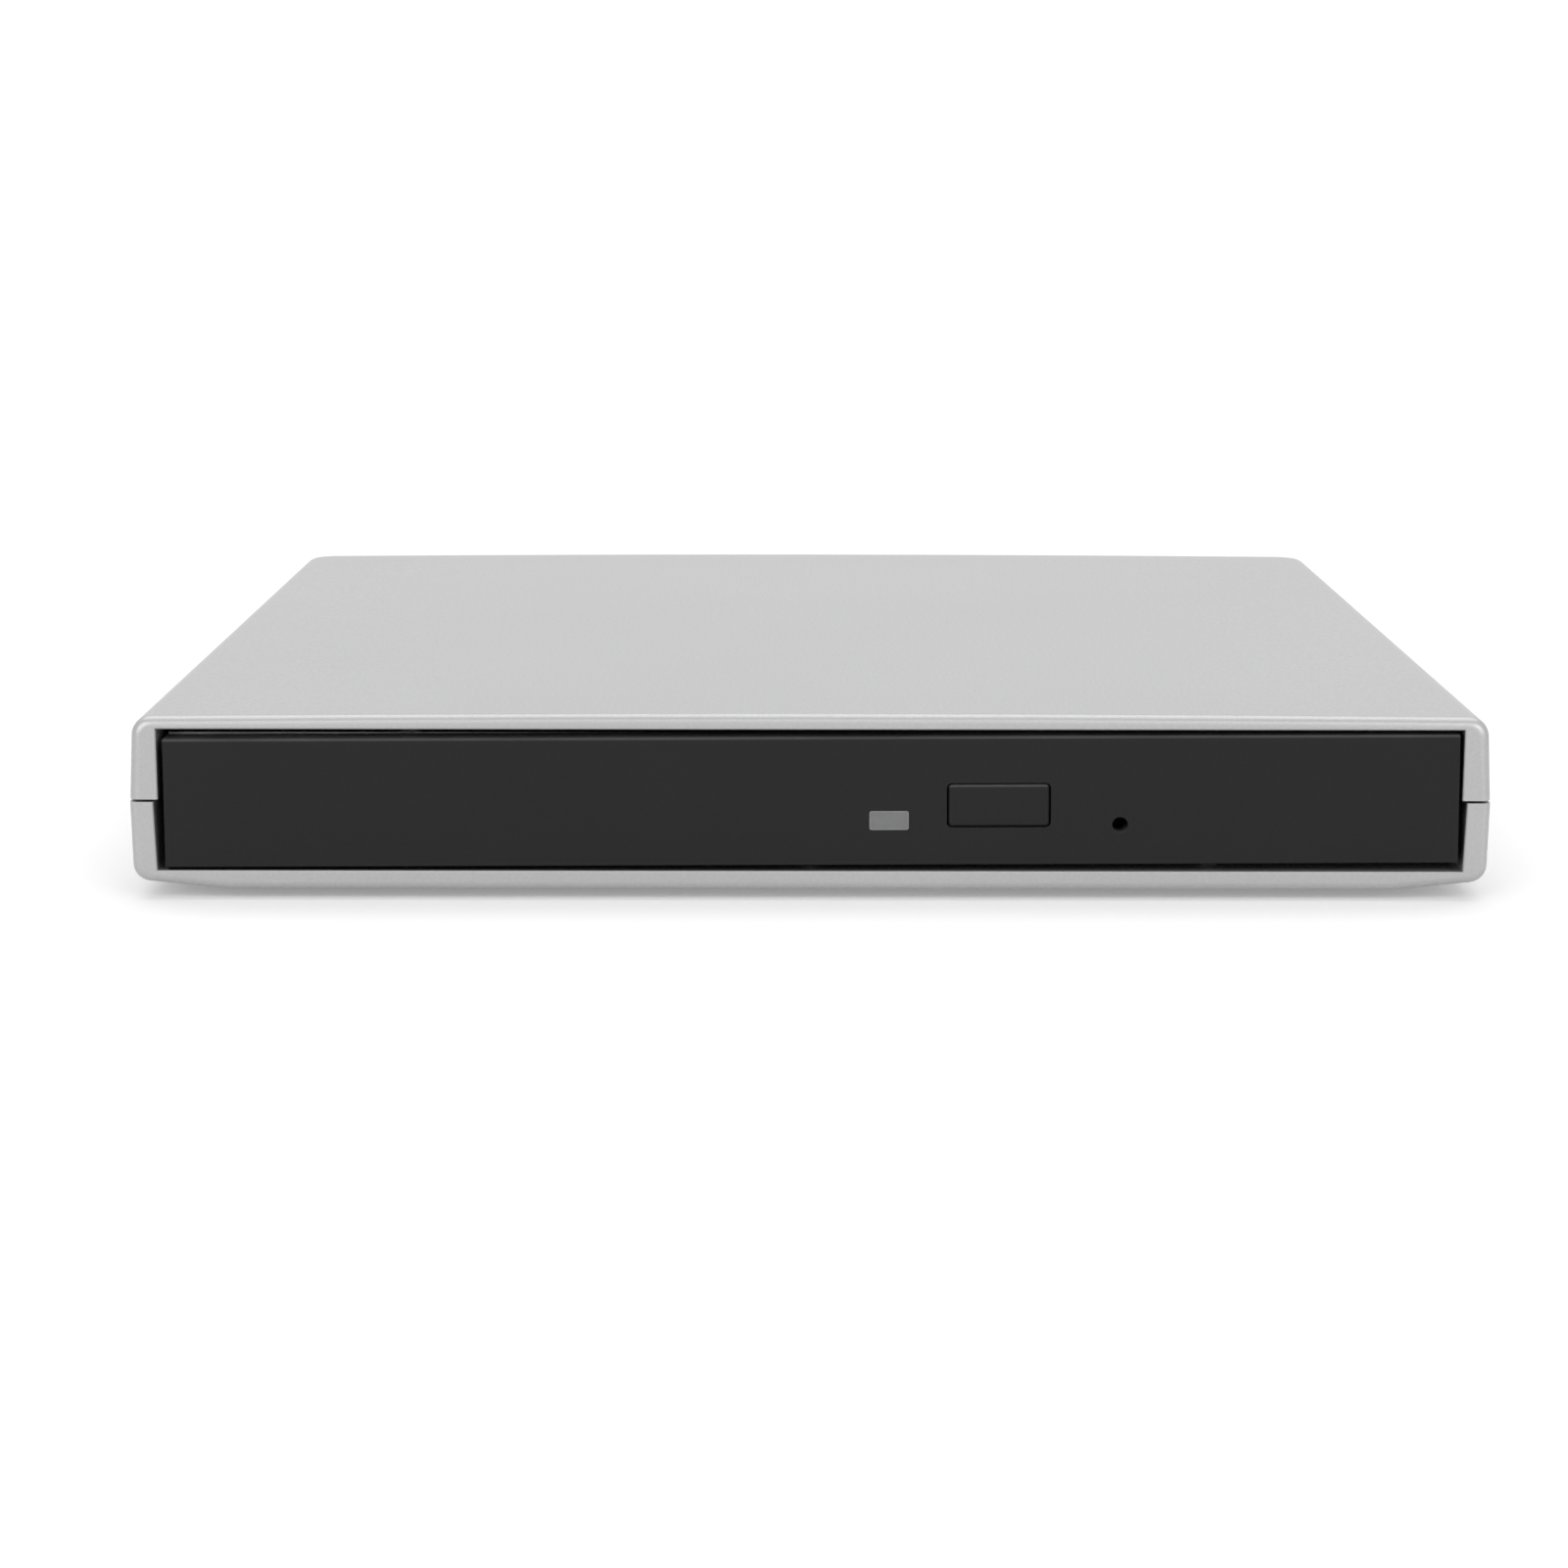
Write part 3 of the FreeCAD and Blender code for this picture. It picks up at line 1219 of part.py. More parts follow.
def make_sata_pair():
    """The drive's socket and the plug on the bridge board, with the plug's tongue in the slot."""
    middle = main_board_top + sata_height / 2
    slot_width = sata_width - 2 * sata_side
    face = drive_back + sata_proud
    body = block("sata_socket_body", about(sata_x, sata_width), (face - sata_depth, face),
                 (main_board_top, main_board_top + sata_height))
    slot = block("sata_socket_slot", about(sata_x, slot_width), (face - sata_tongue_depth, face + PAST),
                 about(middle, sata_tongue_height))
    register(cut("sata_socket", body, slot), "sata_socket")
    plug = block("sata_plug_body", about(sata_x, sata_width),
                 (face + sata_clearance, bridge_front + sata_plug_depth),
                 (bridge_top, bridge_top + sata_height))
    tongue = block("sata_plug_tongue", about(sata_x, slot_width - 2 * sata_clearance),
                   (face - sata_tongue_depth + 2 * sata_clearance, face + sata_clearance + EMBED),
                   about(middle, sata_tongue_height - 2 * sata_clearance))
    register(fused("sata_plug", plug, tongue), "sata_plug")


# Fixed half of the drive


def make_drive_chassis():
    body = new_body("drive_chassis")
    plan = sketch_on(body, "chassis_plan", "XY_Plane", chassis_bottom)
    rectangle(plan, both(chassis_half), (chassis_front, drive_back))
    pad(body, plan, cover_bottom - chassis_bottom)
    room = sketch_on(body, "chassis_room", "XY_Plane", cover_bottom)
    rectangle(room, both(chassis_inner), (chassis_front - PAST, drive_inner_back))
    pocket(body, room, cover_bottom - chassis_floor)
    window = sketch_on(body, "chassis_sata_window", "XZ_Plane", -drive_back - PAST)
    rectangle(window, about(sata_x, sata_width + 2 * sata_window_gap),
              (main_board_top - sata_window_gap, main_board_top + sata_height + sata_window_gap))
    pocket(body, window, chassis_sheet + PAST + EMBED, True)
    for index, (x, y) in enumerate(board_feet()):
        boss = sketch_on(body, f"board_boss_{index}", "XY_Plane", chassis_floor)
        circle(boss, x, y, board_post_radius)
        pad(body, boss, main_board_bottom - chassis_floor)
    side_holes(body, "chassis_side_hole")
    register(body, "drive_chassis")


def board_feet():
    """The bosses under the main board."""
    beside = (main_board_left + board_foot_inset, main_board_right - board_foot_inset)
    behind = (main_board_front + board_foot_front, main_board_back - board_foot_inset)
    return [(x, y) for x in beside for y in behind]


def cover_screw_places():
    """The cover screws' places along the drive."""
    return chassis_front + cover_screw_front, drive_back - cover_screw_rear


def side_holes(body, name):
    """Holes for the cover's screws through both side walls."""
    for index, place in enumerate(cover_screw_places()):
        hole = sketch_on(body, f"{name}_{index}", "YZ_Plane")
        circle(hole, place, cover_screw_z, cover_screw_radius + thread_clearance)
        pocket(body, hole)


def make_drive_cover():
    body = new_body("drive_cover")
    plan = sketch_on(body, "cover_plan", "XY_Plane", cover_top)
    rectangle(plan, both(drive_half), (chassis_front, drive_back))
    pad(body, plan, cover_sheet, True)
    flange_span = (chassis_front + cover_flange_inset, drive_back - cover_flange_inset)
    for side, sign in SIDES:
        flange = sketch_on(body, f"cover_flange_{side}", "XY_Plane", cover_bottom)
        rectangle(flange, (chassis_half * sign, drive_half * sign), flange_span)
        pad(body, flange, cover_flange_height, True)
    side_holes(body, "cover_side_hole")
    register(body, "drive_cover")


def make_cover_screws():
    inner = chassis_inner + thread_clearance
    outer = drive_half + cover_screw_head_height
    screws = []
    for side, sign in SIDES:
        for index, place in enumerate(cover_screw_places()):
            name = f"cover_screw_{side}_{index}"
            spans = [(inner, drive_half), (drive_half, outer)]
            if sign < 0:
                spans = [(-high, -low) for low, high in spans]
            shank = rod(name + "_shank", cover_screw_radius, (place, cover_screw_z), spans[0], "x")
            head = rod(name + "_head", cover_screw_head, (place, cover_screw_z), spans[1], "x")
            screws.append(fused(name, shank, head))
    register(group("cover_screws", *screws), "cover_screws")


def make_rail_guides():
    """The fixed channels on the chassis walls, open towards the middle."""
    lip_end = chassis_inner - guide_back - guide_lip
    web = chassis_inner - guide_back
    above = groove_top + guide_lip_thickness
    under = groove_bottom - guide_lip_thickness
    for side, sign in SIDES:
        name = f"rail_guide_{side}"
        body = new_body(name)
        sketch = sketch_on(body, name + "_section", "XZ_Plane", -guide_start)
        outline(sketch, [(x * sign, z) for x, z in [
            (chassis_inner, under), (chassis_inner, above), (lip_end, above), (lip_end, groove_top),
            (web, groove_top), (web, groove_bottom), (lip_end, groove_bottom), (lip_end, under),
        ]])
        pad(body, sketch, guide_length, True)
        register(body, name)


def make_slide_rails():
    """The bars that run half the tray's way between the guides and the tray's runners."""
    middle = (rail_top + rail_bottom) / 2
    notch = rail_outer - rail_groove
    for side, sign in SIDES:
        name = f"slide_rail_{side}"
        body = new_body(name)
        sketch = sketch_on(body, name + "_section", "XZ_Plane", -rail_start)
        outline(sketch, [(x * sign, z) for x, z in [
            (rail_inner, rail_bottom), (rail_outer, rail_bottom), (rail_outer, middle - rail_groove),
            (notch, middle - rail_groove), (notch, middle + rail_groove),
            (rail_outer, middle + rail_groove), (rail_outer, rail_top), (rail_inner, rail_top),
        ]])
        pad(body, sketch, rail_length, True)
        register(body, name)


def make_main_board():
    board = block("main_sheet", (main_board_left, main_board_right), (main_board_front, main_board_back),
                  (main_board_bottom, main_board_top))
    notch = block("main_notch", (main_board_left - PAST, main_board_left + main_notch_width),
                  (main_board_back - main_notch_depth, main_board_back + PAST),
                  (main_board_bottom - PAST, main_board_top + PAST))
    register(cut("main_board", board, notch), "main_board")
    board_chips("main_board_chips", MAIN_CHIPS, main_board_front, main_board_top)


def make_latch_strike():
    place = (strike_x, strike_y)
    foot = rod("strike_base", strike_radius + strike_foot, place,
               (chassis_floor, chassis_floor + strike_foot_height))
    post = rod("strike_post", strike_radius, place, (chassis_floor, hook_top + hook_gap))
    register(fused("latch_strike", foot, post), "latch_strike")


def make_eject_pusher():
    """The sprung pusher that starts the tray outwards, its guide and its spring."""
    pusher_back = pusher_front + pusher_length
    guide_top = pusher_high + pusher_guide_lip
    guide = block("pusher_block", about(pusher_x, pusher_width + 2 * pusher_guide_wall),
                  (pusher_guide_front, pusher_rear), (chassis_floor, guide_top))
    channel = block("pusher_channel", about(pusher_x, pusher_width + 2 * pusher_gap),
                    (pusher_guide_front - PAST, pusher_rear - pusher_guide_wall),
                    (pusher_low, guide_top + PAST))
    register(cut("pusher_guide", guide, channel), "pusher_guide")
    slider = block("pusher_slider", about(pusher_x, pusher_width), (pusher_front, pusher_back),
                   (pusher_low + pusher_gap, pusher_high))
    well = rod("pusher_well", spring_radius + spring_well_gap, (pusher_x, pusher_z),
               (pusher_front + spring_seat, pusher_back + PAST), "y")
    register(cut("eject_pusher", slider, well), "eject_pusher")
    make_eject_spring()


def make_eject_spring():
    start = pusher_front + spring_seat + spring_gap
    length = pusher_rear - pusher_guide_wall - spring_gap - start
    helix = DOC.addObject("Part::Helix", "eject_spring_path")
    helix.setExpression("Radius", text_of(spring_radius))
    helix.setExpression("Pitch", text_of(length / SPRING_TURNS))
    helix.setExpression("Height", text_of(length))
    wire = DOC.addObject("Part::Circle", "eject_spring_section")
    wire.setExpression("Radius", text_of(spring_wire))
    wire.Placement = turned_placement((1, 0, 0), 90)
    wire.setExpression("Placement.Base.x", text_of(spring_radius))
    sweep = DOC.addObject("Part::Sweep", "eject_spring")
    sweep.Sections = [wire]
    DOC.recompute()
    sweep.Spine = (helix, [f"Edge{index + 1}" for index in range(len(helix.Shape.Edges))])
    sweep.Solid = True
    sweep.Frenet = True
    register(sweep, "eject_spring", (1, 0, 0), constant(-90), (pusher_x, start, pusher_z))


def make_flat_cable():
    """The flat cable: along the chassis floor, folded under the tray, and up through its shield."""
    thin = cable_thickness
    low = chassis_floor + cable_floor_gap
    high = shield_bottom - cable_shield_gap
    fold = cable_fold_y
    plug_z = main_board_top + cable_plug_rise
    drop_y = main_board_front - cable_drop
    rise_y = cable_rise_y
    rise_z = shield_top + cable_end_rise
    body = new_body("flat_cable")
    side = sketch_on(body, "flat_cable_side", "YZ_Plane", cable_x - cable_width / 2)
    outline(side, [
        (main_board_front, plug_z), (drop_y - thin, plug_z), (drop_y - thin, low + thin),
        (fold, low + thin), (fold, high - thin), (rise_y + thin, high - thin), (rise_y + thin, rise_z),
        (rise_y, rise_z),
        (rise_y, high), (fold - thin, high), (fold - thin, low), (drop_y, low),
        (drop_y, plug_z - thin), (main_board_front, plug_z - thin),
    ])
    pad(body, side, cable_width)
    register(body, "flat_cable")


# Tray


def make_tray():
    body = new_body("tray")
    plan = sketch_on(body, "tray_plan", "XY_Plane", tray_under)
    rectangle(plan, both(tray_half), (bezel_back, tray_back))
    pad(body, plan, tray_top - tray_under)
    dress(body, "Fillet", lambda p: near(p.y, tray_back) and near(abs(p.x), tray_half), tray_corner_round)
    recess = sketch_on(body, "disc_recess", "XY_Plane", tray_top)
    circle(recess, 0, spindle_y, disc_recess_radius)
    pocket(body, recess, recess_depth)
    small = sketch_on(body, "small_disc_recess", "XY_Plane", recess_floor)
    circle(small, 0, spindle_y, small_disc_radius)
    pocket(body, small, small_disc_depth)
    opening = sketch_on(body, "mechanism_opening", "XY_Plane", recess_floor)
    outline(opening, [on_tray(along, across) for along, across in opening_corners()])
    pocket(body, opening)
    add_runners(body)
    wall = sketch_on(body, "tray_front_wall", "XZ_Plane", -bezel_back)
    rectangle(wall, (-runner_inner, lamp_x - lamp_wall_gap), (shield_top, tray_under))
    rectangle(wall, (slider_right + slider_gap, runner_inner), (shield_top, tray_under))
    pad(body, wall, front_wall, True)
    for index, (x, y) in enumerate(shield_screw_places()):
        add_post(body, f"shield_post_{index}", x, y, shield_top)
    for index, (x, y) in enumerate(board_screw_places()):
        add_post(body, f"button_board_post_{index}", x, y, button_board_top)
    for index, (along, across) in enumerate(damper_spots()):
        x, y = on_tray(along, across)
        bore = sketch_on(body, f"damper_bore_{index}", "XY_Plane", tray_under)
        circle(bore, x, y, small_screw_radius + thread_clearance)
        pocket(body, bore, tray_floor - tray_skin, True)
    add_hook_pin(body)
    lug = sketch_on(body, "eject_lug", "XY_Plane", tray_under)
    lug_face = pusher_front - lug_gap
    rectangle(lug, about(pusher_x, lug_width), (lug_face - lug_thickness, lug_face))
    pad(body, lug, tray_under - pusher_z + lug_reach, True)
    register(body, "tray")


def add_runners(body):
    """The channels under the tray's sides that slide along the rails."""
    lip_end = runner_outer + guide_lip
    for side, sign in SIDES:
        runner = sketch_on(body, f"runner_{side}", "XZ_Plane", -bezel_back)
        outline(runner, [(x * sign, z) for x, z in [
            (runner_inner, tray_under), (lip_end, tray_under), (lip_end, groove_top),
            (runner_outer, groove_top), (runner_outer, groove_bottom), (lip_end, groove_bottom),
            (lip_end, shield_top), (runner_inner, shield_top),
        ]])
        pad(body, runner, tray_back - bezel_back, True)


def add_hook_pin(body):
    """The pin that the latch hook turns on, with a shoulder over the hook."""
    pin = sketch_on(body, "hook_pin", "XY_Plane", tray_under)
    circle(pin, hook_x, hook_y, hook_pin_radius)
    pad(body, pin, tray_under - hook_bottom + hook_pin_overrun, True)
    shoulder = sketch_on(body, "hook_pin_shoulder", "XY_Plane", tray_under)
    circle(shoulder, hook_x, hook_y, hook_pin_radius + hook_shoulder)
    pad(body, shoulder, tray_under - hook_top - hook_shoulder_gap, True)


def add_post(body, name, x, y, bottom):
    """A screw post hanging under the tray's plate."""
    post = sketch_on(body, name, "XY_Plane", tray_under)
    circle(post, x, y, tray_post_radius)
    pad(body, post, tray_under - bottom, True)
    bore = sketch_on(body, name + "_bore", "XY_Plane", bottom)
    circle(bore, x, y, small_screw_radius + thread_clearance)
    pocket(body, bore, small_screw_length, True)


def opening_corners():
    """The tray's opening over the mechanism, along and across the sled's travel."""
    reach = lens_outer + opening_reach
    shoulder = disc_recess_radius - opening_shoulder
    return [
        (-opening_tail, -opening_sub), (-opening_tail, opening_main), (shoulder, opening_main),
        (shoulder, opening_neck), (reach, opening_neck), (reach, -opening_neck), (shoulder, -opening_neck),
        (shoulder, -opening_sub),
    ]


def shield_screw_places():
    left = shield_screw_side - runner_inner
    rear = shield_back - shield_screw_rear
    return [
        (left, bezel_back + shield_screw_front), (left, rear), (strike_x - shield_screw_strike, rear),
        (runner_inner - shield_corner_side, bezel_back + shield_corner_front),
    ]


def board_screw_places():
    y = bezel_back + button_board_screw
    return [(lamp_x - board_screw_left, y), (button_x + board_screw_right, y)]


def damper_spots():
    """The three dampers of the mechanism plate, along and across the sled's travel."""
    return [
        (-tail_damper_along, tail_damper_across), (sub_damper_along, -sub_rod_side - sub_damper_gap),
        (main_damper_along, screw_side + main_damper_gap),
    ]


def make_tray_screws():
    screws = [
        screw(f"shield_screw_{index}", place, shield_bottom, small_screw_length, small_screw_radius,
              small_head_radius, flat_head_height, down=False)
        for index, place in enumerate(shield_screw_places())
    ]
    screws += [
        screw(f"board_screw_{index}", place, button_board_bottom, board_screw_length, small_screw_radius,
              small_head_radius, small_head_height, down=False)
        for index, place in enumerate(board_screw_places())
    ]
    damper_screw_length = damper_collar + plate_sheet + plate_drop + damper_grip
    screws += [
        screw(f"damper_screw_{index}", on_tray(along, across), plate_bottom - damper_collar,
              damper_screw_length, small_screw_radius, small_head_radius, small_head_height, down=False)
        for index, (along, across) in enumerate(damper_spots())
    ]
    register(group("tray_screws", *screws), "tray_screws")


def make_dampers():
    """Rubber rings with a waist that holds the mechanism plate."""
    low = plate_bottom - damper_collar
    rings = []
    for index, (along, across) in enumerate(damper_spots()):
        name = f"damper_{index + 1}"
        place = on_tray(along, across)
        lower = rod(name + "_lower", damper_radius, place, (low, plate_bottom))
        waist = rod(name + "_waist", damper_hole - damper_clearance, place, (plate_bottom, plate_top))
        upper = rod(name + "_upper", damper_radius, place, (plate_top, tray_under))
        bore = rod(name + "_bore", small_screw_radius + screw_clearance, place,
                   (low - PAST, tray_under + PAST))
        rings.append(cut(name, fused(name + "_blank", lower, waist, upper), bore))
    register(group("dampers", *rings), "dampers")


def make_tray_shield():
    body = new_body("tray_shield")
    plan = sketch_on(body, "shield_plan", "XY_Plane", shield_bottom)
    rectangle(plan, both(runner_outer), (shield_front, shield_back))
    pad(body, plan, shield_sheet)
    slot = sketch_on(body, "strike_slot", "XY_Plane", shield_bottom)
    rectangle(slot, about(strike_x, 2 * (strike_radius + strike_slot_gap)),
              (strike_y - strike_slot_front, shield_back + PAST))
    pocket(body, slot)
    corner = sketch_on(body, "pusher_corner", "XY_Plane", shield_bottom)
    corner_side = pusher_x - pusher_width / 2 - pusher_guide_wall - pusher_shield_gap
    rectangle(corner, (corner_side, runner_outer + PAST),
              (pusher_guide_front - pusher_shield_gap, shield_back + PAST))
    pocket(body, corner)
    gate = sketch_on(body, "cable_gate", "XY_Plane", shield_bottom)
    rectangle(gate, about(cable_x, cable_width + 2 * cable_gate_gap), about(cable_rise_y, cable_gate_width))
    pocket(body, gate)
    screw_holes(body, "shield_hole", shield_screw_places(), small_screw_radius + screw_clearance)
    register(body, "tray_shield")


# Bezel and what shows in it; drawn round the bezel's middle

LAMP_PLACE = (lamp_place, lamp_rise)
LAMP_SIZE = (lamp_width, lamp_height)
BUTTON_PLACE = (button_place, button_rise)
BUTTON_SIZE = (button_width, button_height)


def round_corners(body, place, size, corner_round, gap=0):
    """Rounds the corners of a rectangle in the bezel's face, grown by a gap on each side."""

    def at_corner(p):
        across = near(abs(p.x - number_of(place[0])), size[0] / 2 + gap)
        return across and near(abs(p.z - number_of(place[1])), size[1] / 2 + gap)

    dress(body, "Fillet", at_corner, corner_round + gap)


def make_bezel():
    body = new_body("bezel")
    hollow_depth = bezel_thickness - bezel_wall
    half_height = bezel_height / 2

    def on_top_edge(p):
        return near(p.y, bezel_front) and near(p.z, half_height)

    face = sketch_on(body, "bezel_face", "XZ_Plane", -bezel_front)
    rectangle(face, both(bezel_half), both(half_height))
    pad(body, face, bezel_thickness, True)
    dress(body, "Fillet", lambda p: near(p.y, bezel_front) and not near(p.z, half_height), bezel_edge_round)
    dress(body, "Fillet", on_top_edge, bezel_top_round)
    hollow = sketch_on(body, "bezel_hollow", "XZ_Plane", -bezel_back)
    rectangle(hollow, both(bezel_half - bezel_rim), both(half_height - bezel_rim))
    pocket(body, hollow, hollow_depth, True)
    for side, sign in SIDES:
        rib = sketch_on(body, f"bezel_rib_{side}", "XZ_Plane", -bezel_back)
        rectangle(rib, about(bezel_rib_place * sign, bezel_rib_width), both(half_height - bezel_rib_inset))
        pad(body, rib, hollow_depth)
    tube = sketch_on(body, "pinhole_tube", "XZ_Plane", -bezel_back)
    circle(tube, pinhole_place, pinhole_rise, pinhole_radius + pinhole_wall)
    pad(body, tube, hollow_depth)
    pinhole = sketch_on(body, "pinhole", "XZ_Plane", -bezel_back)
    circle(pinhole, pinhole_place, pinhole_rise, pinhole_radius)
    pocket(body, pinhole)
    cut_window(body, "lamp_hole", LAMP_PLACE, LAMP_SIZE, lamp_corner_round, lamp_gap)
    cut_window(body, "button_hole", BUTTON_PLACE, BUTTON_SIZE, button_corner_round, button_gap)
    in_bezel(body, "bezel")


def cut_window(body, name, place, size, corner_round, gap):
    """A hole through the bezel round one of its details, with rounded corners."""
    hole = sketch_on(body, name, "XZ_Plane", -bezel_back)
    rectangle(hole, about(place[0], size[0] + 2 * gap), about(place[1], size[1] + 2 * gap))
    pocket(body, hole)
    round_corners(body, place, size, corner_round, gap)


def make_lamp_window():
    body = new_body("lamp_window")
    face = sketch_on(body, "lamp_face", "XZ_Plane", -bezel_front - lamp_inset)
    rectangle(face, about(lamp_place, lamp_width), about(lamp_rise, lamp_height))
    pad(body, face, bezel_thickness + lamp_guide_length, True)
    round_corners(body, LAMP_PLACE, LAMP_SIZE, lamp_corner_round)
    in_bezel(body, "lamp_window")


def make_eject_button():
    body = new_body("eject_button")
    flange_front = bezel_plate_back + button_rest_gap
    face = sketch_on(body, "button_face", "XZ_Plane", -bezel_front + button_proud)
    rectangle(face, about(button_place, button_width), about(button_rise, button_height))
    pad(body, face, flange_front - bezel_front + button_proud, True)
    round_corners(body, BUTTON_PLACE, BUTTON_SIZE, button_corner_round)
    dress(body, "Fillet", lambda p: near(p.y, bezel_front - button_proud), button_edge_round)
    flange = sketch_on(body, "button_flange", "XZ_Plane", -flange_front)
    rectangle(flange, about(button_place, button_width + 2 * button_flange),
              about(button_rise, button_height + 2 * button_flange))
    pad(body, flange, button_flange_thickness, True)
    stem = sketch_on(body, "button_stem", "XZ_Plane", -flange_front)
    rectangle(stem, about(button_place, button_stem_width), about(button_rise, button_stem_height))
    pad(body, stem, switch_front - button_travel - button_rest_gap - flange_front, True)
    in_bezel(body, "eject_button")


# Electronics and latch at the tray's front


def make_button_board():
    board = block("button_sheet", (lamp_x - button_board_left, button_x + button_board_right),
                  (bezel_back + button_board_front, bezel_back + button_board_back),
                  (button_board_bottom, button_board_top))
    holes = [
        rod(f"button_board_hole_{index}", small_screw_radius + screw_clearance, place,
            (button_board_bottom - PAST, button_board_top + PAST))
        for index, place in enumerate(board_screw_places())
    ]
    register(cut("button_board", board, *holes), "button_board")
    case_front = switch_front + knob_length
    case = block("switch_case", about(button_x, switch_width), (case_front, case_front + switch_depth),
                 (button_board_top, button_board_top + switch_height))
    knob = block("switch_knob", about(button_x, knob_width), (switch_front, case_front),
                 about(button_z, knob_height))
    register(fused("eject_switch", case, knob), "eject_switch")
    led_span = (bezel_back + led_front, bezel_back + led_back)
    led_top = button_board_top + led_base
    lamp = block("lamp_base", about(lamp_x, led_width), led_span, (button_board_top, led_top))
    dome = rod("lamp_dome", led_radius, (lamp_x, led_top), (led_span[0] - led_nose, led_span[1]), "y")
    register(fused("status_lamp", lamp, dome), "status_lamp")


def make_latch():
    """The hook at its released position, its emergency slider and its solenoid."""
    reach_x = strike_x - hook_x
    tip_y = strike_y - hook_y + strike_radius + hook_gap
    span = (hook_bottom, hook_top)
    arm = block("hook_arm", (reach_x + strike_radius + hook_arm_gap, -hook_arm_side),
                (-hook_arm_root, tip_y + hook_tip), span)
    tip = block("hook_end", (reach_x - hook_catch, -hook_arm_side), (tip_y, tip_y + hook_tip), span)
    eye = rod("hook_eye", hook_pin_radius + hook_eye_wall, (0, 0), span)
    tail = block("hook_lever", (-hook_tail, constant(0)), both(hook_tail_width / 2), span)
    bore = rod("hook_bore", hook_pin_radius + hook_clearance, (0, 0), (hook_bottom - PAST, hook_top + PAST))
    hook = cut("latch_hook", fused("hook_blank", arm, tip, eye, tail), bore)
    register(hook, "latch_hook", (0, 0, 1), -hook_turn, (hook_x, hook_y, 0))
    slider_back = hook_y - hook_tail_width / 2 - slider_gap + slider_stroke
    slider = block("slider_body", (slider_left, slider_right), (slider_back - slider_length, slider_back),
                   (hook_bottom, hook_top + slider_rise))
    register(slider, "emergency_slider")
    make_solenoid()


def make_solenoid():
    right = runner_inner - solenoid_side_gap
    left = right - solenoid_width
    start = hook_y + solenoid_place
    end = start + solenoid_length
    top = shield_top + solenoid_height
    frame = block("solenoid_frame", (left, right), (start, end), (shield_top, top))
    window = block("solenoid_window", (left - PAST, right - solenoid_sheet),
                   (start + solenoid_cheek, end - solenoid_cheek),
                   (shield_top + solenoid_sheet, top - solenoid_sheet))
    coil = rod("solenoid_coil", coil_radius, ((left + right - solenoid_sheet) / 2, (shield_top + top) / 2),
               (start + solenoid_cheek - EMBED, end - solenoid_cheek + EMBED), "y")
    register(fused("latch_solenoid", cut("solenoid_yoke", frame, window), coil), "latch_solenoid")


# Mechanism; drawn along and across the sled's travel, with the spindle at zero


def make_traverse_plate():
    through = (plate_bottom - PAST, plate_top + PAST)
    sheet = block("plate_blank", (-plate_tail, rod_end + plate_margin),
                  (-sub_rod_side - plate_sub_margin, screw_side + plate_screw_margin),
                  (plate_bottom, plate_top))
    seats = []
    for end, low in (("inner", rod_start), ("outer", rod_end - rod_seat_length)):
        for name, side in (("main", main_rod_side), ("sub", -sub_rod_side)):
            seats.append(block(f"rod_seat_{name}_{end}", (low, low + rod_seat_length),
                               about(side, 2 * (rod_radius + rod_seat_margin)),
                               (rod_z - rod_radius - rod_seat_under, plate_bottom)))
    slot = block("sled_slot", (sled_slot_start, lens_outer + sled_slot_overrun), both(sled_slot_half),
                 through)
    hole = rod("rotor_hole", rotor_radius + rotor_hole_gap, (0, 0), through)
    bay = block("motor_bay", (motor_start - motor_bay_tail, motor_end + motor_bay_gap),
                about(screw_side, 2 * (motor_radius + motor_bay_gap)), through)
    waists = [
        rod(f"damper_hole_{index}", damper_hole, (along, across), through)
        for index, (along, across) in enumerate(damper_spots())
    ]
    bores = [
        rod(f"{name}_rod_seats", rod_radius, (side, rod_z), rod_span, "x")
        for name, side in (("main", main_rod_side), ("sub", -sub_rod_side))
    ]
    plate = cut("plate_cut", fused("plate_and_seats", sheet, *seats), slot, hole, bay, *waists, *bores)
    plate.Placement = turned_placement((0, 0, 1))
    plate.setExpression("Placement.Rotation.Angle", text_of(sled_turn))
    plate.setExpression("Placement.Base.y", text_of(spindle_y))
    bounds = block("plate_bounds", (plate_side_gap - runner_inner, strike_x - plate_strike_gap),
                   (bezel_back + front_wall + plate_front_gap, tray_back - plate_rear_gap),
                   (shield_top, tray_under))
    register(common("traverse_plate", plate, bounds), "traverse_plate")


def make_guide_rods():
    for name, side in (("guide_rod_main", main_rod_side), ("guide_rod_sub", -sub_rod_side)):
        bar = rod(name + "_bar", rod_radius, (side, rod_z), rod_span, "x")
        in_mechanism(group(name, bar), name)


